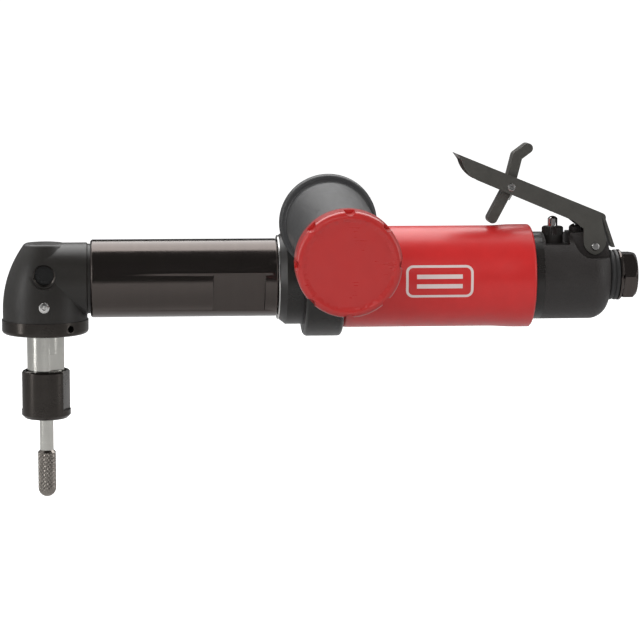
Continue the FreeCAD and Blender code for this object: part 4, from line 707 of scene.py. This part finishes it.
def make_valve_cap():
    body = CAP_RADIUS - BODY_STEP
    outline = [(CAP_LOW, CAP_BORE), (CAP_LOW, CAP_THREAD), (CAP_FLOOR, CAP_THREAD),
               (CAP_FLOOR, body), (RIB_FOOT, body), (RIB_FOOT + RIB_RUNOUT, CAP_RADIUS),
               (CAP_HIGH - CAP_EDGE, CAP_RADIUS), (CAP_HIGH, CAP_RADIUS - CAP_EDGE),
               (CAP_HIGH, CAP_BORE)]
    bm = spun(outline, 2 * RIB_COUNT)
    step = math.pi / RIB_COUNT
    for vert in bm.verts:
        column = round(math.atan2(vert.co.y, vert.co.x) / step)
        reach = math.hypot(vert.co.x, vert.co.y)
        if column % 2 and vert.co.z > RIB_FOOT and reach > CAP_RADIUS - 2 * CAP_EDGE:
            vert.co.x *= 1 - RIB_DEPTH / reach
            vert.co.y *= 1 - RIB_DEPTH / reach
    bmesh.ops.translate(bm, vec=CAP_PLACE, verts=bm.verts)
    piece = to_object("valve_cap_knurled", bm, SATIN_BLACK, smooth_angle=20.0)
    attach(piece, "tool_body")
    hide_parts("valve_cap")
    print("valve cap ribs", RIB_COUNT)


make_valve_cap()

# %% [markdown]
# ## The burr
#
# A carbide burr is a cylinder with a ball nose, ground with two crossing sets of spiral
# flutes. The grid of points from a fine spin is lowered along both spirals: what stands
# between the two sets of grooves are the small pyramids that cut.

# %% Burr
SHANK_RADIUS = 3.175 * MM
SHANK_END = -79.3 * MM
BURR_NECK = 1.2 * MM
BURR_STEPS = 216
BURR_ROWS = 130
FLUTES = 18
BREAKERS = 15
FLUTE_TURNS = 420.0
BREAKER_TURNS = -560.0
FLUTE_DEPTH = 0.34 * MM
STEEP_SHARE = 0.62
SHANK_BEVEL = 0.4 * MM


def groove(turns, count, spot, around):
    """How far into a groove a point is, from 0 on the ridge to 1 at the bottom."""
    phase = count * around / math.tau + turns * spot
    saw = phase - math.floor(phase)
    if saw < STEEP_SHARE:
        return 1.0 - saw / STEEP_SHARE
    return (saw - STEEP_SHARE) / (1.0 - STEEP_SHARE)


def make_burr():
    nose = BURR_BOTTOM + BURR_RADIUS
    shoulder = SHANK_END - BURR_NECK
    outline = [(BURR_TOP, 0.0), (BURR_TOP, SHANK_RADIUS - SHANK_BEVEL),
               (BURR_TOP - SHANK_BEVEL, SHANK_RADIUS), (SHANK_END, SHANK_RADIUS)]
    for number in range(BURR_ROWS + 1):
        outline.append((shoulder + (nose - shoulder) * number / BURR_ROWS, BURR_RADIUS))
    outline += arc((nose, 0.0), BURR_RADIUS, 90, 180, 24)[1:]
    bm = spun(outline, BURR_STEPS)
    for vert in bm.verts:
        reach = math.hypot(vert.co.x, vert.co.y)
        if vert.co.z > shoulder - 0.01 * MM or reach < 0.4 * MM:
            continue
        around = math.atan2(vert.co.y, vert.co.x)
        cut = max(groove(FLUTE_TURNS, FLUTES, vert.co.z, around),
                  groove(BREAKER_TURNS, BREAKERS, vert.co.z, around))
        depth = FLUTE_DEPTH * cut * min(1.0, reach / BURR_RADIUS)
        vert.co.x *= 1 - depth / reach
        vert.co.y *= 1 - depth / reach
    bmesh.ops.translate(bm, vec=(SPINDLE_X, 0, 0), verts=bm.verts)
    piece = to_object("burr_cut", bm, CARBIDE, smooth_angle=24.0)
    piece.data.materials.append(BRIGHT)
    for face in piece.data.polygons:
        if face.center.z > SHANK_END - 0.01 * MM:
            face.material_index = 1
    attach(piece, "burr_unit")
    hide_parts("carbide_burr")
    print("burr faces", len(piece.data.polygons))


make_burr()

# %% [markdown]
# ## Threads
#
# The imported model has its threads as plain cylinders. Where one can be seen, a ring of fine
# ridges shows it: an outline that zigzags between the thread's two radii, spun round its axis.

# %% Thread rings


def add_thread(name, body, material, spot, way, length, ridge, root, back, pitch):
    """Thread ridges from spot along way. They reach from the radius back to the ridge's."""
    count = int(length / pitch)
    outline = [(0.0, back)]
    for number in range(count):
        outline.append((number * pitch, root))
        outline.append(((number + 0.5) * pitch, ridge))
    outline += [(count * pitch, root), (count * pitch, back)]
    bm = spun(outline, 64)
    set_on(bm, Vector(spot), way)
    piece = to_object(name, bm, material, smooth_angle=15.0)
    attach(piece, body)
    print(name, "turns", count)


PORT = frame["record"]["mounts"][1]
add_thread("inlet_thread", "tool_body", BLUED, (-0.6 * MM, 0, 0), (-1, 0, 0), 12.0 * MM,
           5.45 * MM, 6.0 * MM, 6.02 * MM, 1.34 * MM)
add_thread("port_thread", "tool_body", BLUED_SPINDLE, PORT["pos_m"], (0, 1, 0), 2.7 * MM,
           4.45 * MM, 5.0 * MM, 5.02 * MM, 0.9 * MM)
add_thread("stud_thread", "handle_clamp", BRIGHT_X, STUD_START - STUD_WAY * 28.0 * MM,
           STUD_WAY, 1.9 * MM, 5.0 * MM, 4.98 * MM, 4.5 * MM, 0.9 * MM)

# %% [markdown]
# ## Inside the side port, and the valve's spring
#
# The bore and floor of the threaded port in the side of the head get a darker colour than the
# head round it: painted shade inside the deep hole. The valve's spring is a copy of the
# imported coil with a mesh of its own, kept on the tool's body.

# %% Painted port shade and spring
# Painted shade: a near-black colour for the inside of the side port, standing in for the shade in
# the hole.
PORT_PAINTED_SHADE = finish("port_painted_shade", (0.006, 0.006, 0.006), (0.004, 0.004, 0.004), 0.30,
                   pattern=3000.0, depth=0.01)
PORT_CENTRE = Vector(PORT["pos_m"])
PORT_SHADE_REACH = 5.2 * MM
PORT_SHADE_DEPTH = 0.3 * MM


def paint_port_shade():
    HEAD.data.materials.append(PORT_PAINTED_SHADE)
    inside = 0
    # Faces in the port's bore and floor take the painted shade.
    for face in HEAD.data.polygons:
        away = face.center - PORT_CENTRE
        if math.hypot(away.x, away.z) < PORT_SHADE_REACH and away.y > PORT_SHADE_DEPTH and face.center.y < 0:
            face.material_index = 1
            inside += 1
    print("faces in the side port", inside)


def make_valve_spring():
    bm = bmesh.new()
    bm.from_mesh(NODES["valve_spring"].data)
    bmesh.ops.remove_doubles(bm, verts=bm.verts, dist=0.002 * MM)
    piece = to_object("valve_spring_coil", bm, POLISHED, smooth_angle=50.0)
    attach(piece, "tool_body")
    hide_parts("valve_spring")
    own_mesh(piece)


paint_port_shade()
make_valve_spring()
